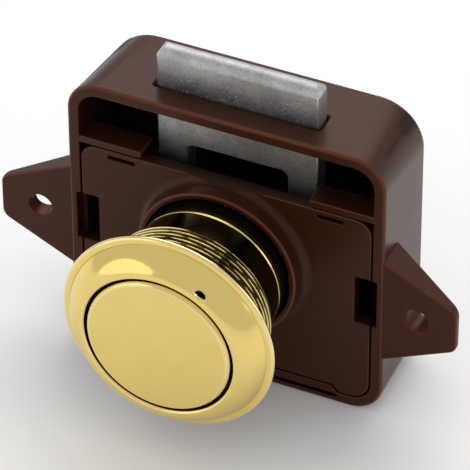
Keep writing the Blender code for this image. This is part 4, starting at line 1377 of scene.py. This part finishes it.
class LATCH_OT_return_spring(bpy.types.Operator):
    """Makes the coil spring that pushes the button out"""

    bl_idname = "latch.return_spring"
    bl_label = "Return spring"

    def execute(self, context):
        sizes = context.scene.latch_button
        _, _, floor = case_inside(context.scene.latch_case)
        seat, closed_pitch, per_turn = sizes.spring_wire + 0.2 * MM, 1.35 * MM, 24
        start, end, turns = -sizes.spring_pocket + seat, floor - seat, sizes.spring_turns
        pitch = (end - start - 2 * closed_pitch) / (turns - 2)
        route = []
        for step in range(turns * per_turn + 1):
            gone = step / per_turn
            closed = min(gone, 1) + max(gone - (turns - 1), 0)
            depth = start + closed * closed_pitch + (gone - closed) * pitch
            x, z = turned_by(sizes.spring_radius, 0, math.tau * gone)
            route.append((x, depth, z))
        spring = tube("coil_spring", route, sizes.spring_wire, 10)
        dress(spring, None, bright_steel, ["return_spring"])
        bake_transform(spring)
        return {"FINISHED"}


class LATCH_OT_bolt(bpy.types.Operator):
    """Makes the die-cast bolt with its window and lugs, and the two drive pins"""

    bl_idname = "latch.bolt"
    bl_label = "Bolt and pins"

    def execute(self, context):
        scene = context.scene
        sizes, case = scene.latch_bolt, scene.latch_case
        half, nose, top = sizes.width / 2, sizes.thickness / 2, case.above + sizes.stand
        bar = self.bar(sizes, case, half, nose, top)
        corner = sizes.end_round
        outline = arc((half - corner, top - corner), corner, 0, 90, 9) + [
            (half - corner, top + PAST), (half + PAST, top + PAST), (half + PAST, top - corner)
        ]
        front, back = sizes.front, sizes.front + sizes.thickness
        chamfer, window_round = 0.25 * MM, 1.2 * MM
        trims = [
            opening("corner_trim", [(side * x, z) for x, z in outline], through(front, back))
            for side in (1, -1)
        ]
        window = rounded_rectangle(
            -sizes.window, sizes.window, -sizes.window_bottom, sizes.window_top, window_round
        )
        carve(bar, *trims, opening("bolt_window", window, through(front, back, chamfer, chamfer)))
        lugs = [self.lug(sizes, side, front + nose, half) for side in (1, -1)]
        bolt = joined("bolt_piece", bar, *lugs)
        inside, shade_end, hair = case.above - case.wall, top - 2 * MM, 0.1 * MM
        # shares of painted shade: haze and lean on the plate, nose_haze on the nose, dark where the
        # tongue enters the case
        haze, lean, nose_haze, dark = 0.12, 0.16, 0.22, 0.75

        def grime(x, y, z):
            """Painted shade where the tongue enters the case, a faint painted shade on its nose and
            plate, darker towards the right on the plate.
            """
            if z < inside + hair:
                return haze + lean * fade(x, -half, half)
            if z > top - nose + hair:
                return nose_haze
            return haze + dark * (1 - fade(z, case.above, shade_end))

        dress(bolt, "bolt", cast_zinc, ["bolt"], edge_width=0.2 * MM, grime=grime)
        self.pin(sizes, scene.latch_button, 1, "right")
        self.pin(sizes, scene.latch_button, -1, "left")
        return {"FINISHED"}

    def bar(self, sizes, case, half, nose, top):
        """The bolt's bar with a round nose, and rows where its painted shade changes."""
        edge, foot = sizes.edge, -sizes.foot + sizes.edge
        front, back = sizes.front, sizes.front + sizes.thickness
        shade_rows = [
            top - 2.5 * MM, top - 4 * MM, case.above + 0.8 * MM, case.above - 0.4 * MM,
            case.above - case.wall,
        ]
        section = (
            arc((front + nose, top - nose), nose, 0, 180, 21)
            + [(front, row) for row in shade_rows]
            + arc((front + edge, foot), edge, 180, 270, 4)
            + arc((back - edge, foot), edge, 270, 360, 4)
            + [(back, row) for row in reversed(shade_rows)]
        )
        ends = [(edge * shrink, half - edge * advance) for shrink, advance in edge_steps()]
        rings = [(shrink, -x) for shrink, x in ends] + [(0, 0)] + ends[::-1]
        return loft(
            "bolt_bar", [[(x, y, z) for y, z in inset(section, shrink)] for shrink, x in rings]
        )

    def lug(self, sizes, side, back, half):
        """A lug in front of the bolt, beside its window, with a hole for a drive pin."""
        slack, edge = 0.02 * MM, 0.3 * MM
        lug = side_block(
            "lug", side, sizes.window, sizes.window + sizes.lug, sizes.front - sizes.lug_reach,
            back, sizes.pin_height - sizes.lug_half, sizes.pin_height + sizes.lug_half, edge,
        )
        hole = circle((sizes.pin_depth, sizes.pin_height), sizes.pin + slack, 32)
        return carve(lug, opening("pin_hole", hole, [(-half, 0), (half, 0)], sideways))

    def pin(self, sizes, button, side, name):
        """A drive pin with rounded ends, from its groove in the plunger through its lug."""
        soft, clear = 0.2 * MM, 0.3 * MM
        near, far = button.core_width - button.groove + clear, sizes.window + sizes.lug
        tip = ((0, 1), (0.3, 0.3), (1, 0))
        stations = [(near + soft * along, -soft * shrink) for along, shrink in tip]
        stations += [(far - soft * along, -soft * shrink) for along, shrink in reversed(tip)]
        pin = opening(
            f"pin_{name}", circle((sizes.pin_depth, sizes.pin_height), sizes.pin, 40),
            [(side * along, grow) for along, grow in stations], sideways,
        )
        dress(pin, "bolt", bright_steel, [f"drive_pin_{name}"])


class LATCH_OT_catch(bpy.types.Operator):
    """Makes the catch wire, the leaf spring under it and the leaf spring's screw"""

    bl_idname = "latch.catch"
    bl_label = "Catch wire"

    def execute(self, context):
        scene = context.scene
        sizes = scene.latch_catch
        _, _, floor = case_inside(scene.latch_case)
        bend, height, boss = sizes.bend, -sizes.height, boss_top(sizes)
        foot = boss - sizes.leg + 0.3 * MM
        back = arc((sizes.pivot - bend, height - bend), bend, 0, 90, 11)
        front = arc((sizes.tip + bend, height + bend), bend, 270, 180, 11)
        route = [(sizes.pivot, foot), *back, *front, (sizes.tip, height + sizes.rise)]
        wire = tube("catch_wire_piece", [(0, y, z) for y, z in route], sizes.wire, 16)
        dress(wire, "catch", bright_steel, ["catch_wire"])
        leaf = self.leaf(sizes, boss, floor)
        dress(leaf, "case", bright_steel, ["catch_leaf_spring"])
        screw = self.screw(sizes, boss)
        dress(screw, "case", bright_steel, ["leaf_spring_screw"])
        return {"FINISHED"}

    def leaf(self, sizes, boss, floor):
        """The leaf spring: a flat wing on the boss and a tongue that rises to the wire's arm."""
        thick, margin, edge, lift, slack = sizes.leaf, 0.3 * MM, 0.08 * MM, 0.1 * MM, 0.1 * MM
        base, near = boss + lift, floor - sizes.boss_depth
        left, half, rise = -2.7 * MM, 1.5 * MM, sizes.boss_gap - 2 * lift - thick
        wing = block(
            "leaf_wing", (left, near + margin, base),
            (sizes.boss_right, floor - margin, base + thick), edge,
        )
        wire_hole = (0, sizes.wire + 3 * slack)
        screw_hole = (sizes.screw_place, sizes.screw + slack)
        cut = through(base, base + thick)
        carve(wing, *(
            opening("leaf_hole", circle((x, sizes.pivot), radius, 32), cut, upward)
            for x, radius in (wire_hole, screw_hole)
        ))
        curve = (
            (-0.35 * MM, 0), (0, 0.02 * MM), (0.5 * MM, rise * 0.2), (1.6 * MM, rise * 0.75),
            (2.2 * MM, rise),
        )
        rows = [(near - out, base + up) for out, up in curve]
        tongue = loft("leaf_tongue", [
            [(-half, y, z), (half, y, z), (half, y, z + thick), (-half, y, z + thick)]
            for y, z in rows
        ])
        return joined("leaf_spring", wing, tongue)

    def screw(self, sizes, boss):
        """The leaf spring's screw: a threaded shank and a domed head with a driver slot."""
        shank, head, seat = sizes.screw, sizes.screw_head, boss + sizes.leaf + 0.2 * MM
        rim, dome, step, root, ridges = 0.3 * MM, 0.5 * MM, 0.2 * MM, 0.78, 13
        tip, thread_start = seat - 3.2 * MM, seat - 2.7 * MM
        rows = [(shank * 0.3, tip)]
        rows += [
            (shank * (root if row % 2 else 1.0), thread_start + row * step) for row in range(ridges)
        ]
        rows += [(shank, seat), (head, seat), (head, seat + rim)]
        rows += arc((head - dome, seat + rim), dome, 0, 90, 6)[1:]
        x, y, top = sizes.screw_place, sizes.pivot, seat + rim + dome
        screw = loft("leaf_screw_piece", [
            [(a, b, z) for a, b in circle((x, y), radius, 32)] for radius, z in rows
        ])
        slot_half, slot_deep, slot_reach = 0.175 * MM, 0.4 * MM, 2 * MM
        slot = opening("driver_slot", [
            (x - slot_reach, top - slot_deep), (x + slot_reach, top - slot_deep),
            (x + slot_reach, top + PAST), (x - slot_reach, top + PAST),
        ], [(y - slot_half, 0), (y + slot_half, 0)])
        return carve(screw, slot)


# Stage


class LATCH_OT_stage(bpy.types.Operator):
    """Makes the floor, the soft studio lights and the camera"""

    bl_idname = "latch.stage"
    bl_label = "Stage"

    def execute(self, context):
        scene = context.scene
        settings, half, level = scene.latch_stage, 1.5, -scene.latch_case.below
        corners = [(x * half, y * half, level) for x, y in ((-1, -1), (1, -1), (1, 1), (-1, 1))]
        floor = solid("floor", corners, [(0, 1, 2, 3)])
        paint = Finish("floor_paint", Specular_IOR_Level=0.2)
        shade = paint.noise(120 * MM, 3.0)
        floor.data.materials.append(paint.finish(
            Base_Color=paint.mix(shade * 0.06, settings.floor, (0.8, 0.8, 0.8)),
            Roughness=0.6 + 0.1 * shade,
        ))
        world = bpy.data.worlds.new("studio")
        world.use_nodes = True
        sky = world.node_tree.nodes["Background"]
        sky.inputs["Color"].default_value = (1, 1, 1, 1)
        sky.inputs["Strength"].default_value = settings.surround
        scene.world = world
        target = Vector(settings.target)
        for name, place, size, brightness in (
            ("overhead", (-0.1, 0.42, 0.55), (0.85, 0.62), 1.7),
            ("left_fill", (-0.6, -0.55, 0.2), (0.75, 0.7), 0.6),
            ("right_fill", (0.7, 0.2, 0.25), (0.5, 0.5), 1.0),
        ):
            self.softbox(scene, name, target, Vector(place), size, brightness)
        scene.view_settings.view_transform = "Standard"
        self.camera(scene, settings, target)
        return {"FINISHED"}

    def softbox(self, scene, name, target, place, size, brightness):
        light = bpy.data.lights.new(name, "AREA")
        light.shape = "ELLIPSE"
        light.size, light.size_y = size
        light.energy = brightness * math.pi ** 2 / 4 * size[0] * size[1]
        item = bpy.data.objects.new(name, light)
        item.location = place
        item.rotation_euler = (place - target).to_track_quat("Z", "Y").to_euler()
        scene.collection.objects.link(item)

    def camera(self, scene, settings, target):
        turn, rise = settings.azimuth, settings.elevation
        back = Vector(
            (math.sin(turn) * math.cos(rise), -math.cos(turn) * math.cos(rise), math.sin(rise))
        )
        right = Vector((math.cos(turn), math.sin(turn), 0))
        up = back.cross(right)
        across = right * math.cos(settings.roll) + up * math.sin(settings.roll)
        upright = up * math.cos(settings.roll) - right * math.sin(settings.roll)
        data = bpy.data.cameras.new("camera")
        data.lens = settings.focal
        data.sensor_width = 36.0
        data.clip_start = 0.01
        data.clip_end = 10.0
        camera = bpy.data.objects.new("camera", data)
        axes = Matrix((across, upright, back)).transposed().to_4x4()
        camera.matrix_world = Matrix.Translation(target + back * settings.distance) @ axes
        scene.collection.objects.link(camera)
        scene.camera = camera


class LATCH_PT_panel(bpy.types.Panel):
    """Lists the pieces of the latch"""

    bl_idname = "LATCH_PT_panel"
    bl_label = "Push-button latch"
    bl_space_type = "VIEW_3D"
    bl_region_type = "UI"
    bl_category = "Latch"

    def draw(self, context):
        for operator in OPERATORS:
            self.layout.operator(operator.bl_idname)
        for name, _ in GROUPS:
            group = getattr(context.scene, name)
            box = self.layout.box()
            for key in group.__annotations__:
                box.prop(group, key)


GROUPS = (
    ("latch_case", LatchCaseSizes),
    ("latch_cover", LatchCoverSizes),
    ("latch_button", LatchButtonSizes),
    ("latch_ring", LatchRingSizes),
    ("latch_bolt", LatchBoltSizes),
    ("latch_catch", LatchCatchSizes),
    ("latch_finishes", LatchFinishes),
    ("latch_stage", LatchStageSettings),
)
OPERATORS = (
    LATCH_OT_case,
    LATCH_OT_cover,
    LATCH_OT_ring,
    LATCH_OT_button,
    LATCH_OT_plunger,
    LATCH_OT_return_spring,
    LATCH_OT_bolt,
    LATCH_OT_catch,
    LATCH_OT_stage,
)


def register():
    for name, group in GROUPS:
        bpy.utils.register_class(group)
        setattr(bpy.types.Scene, name, PointerProperty(type=group))
    for operator in OPERATORS:
        bpy.utils.register_class(operator)
    bpy.utils.register_class(LATCH_PT_panel)


def unregister():
    bpy.utils.unregister_class(LATCH_PT_panel)
    for operator in reversed(OPERATORS):
        bpy.utils.unregister_class(operator)
    for name, group in reversed(GROUPS):
        delattr(bpy.types.Scene, name)
        bpy.utils.unregister_class(group)


def main():
    register()
    for operator in OPERATORS:
        family, name = operator.bl_idname.split(".")
        getattr(getattr(bpy.ops, family), name)()


if __name__ == "__main__":
    main()
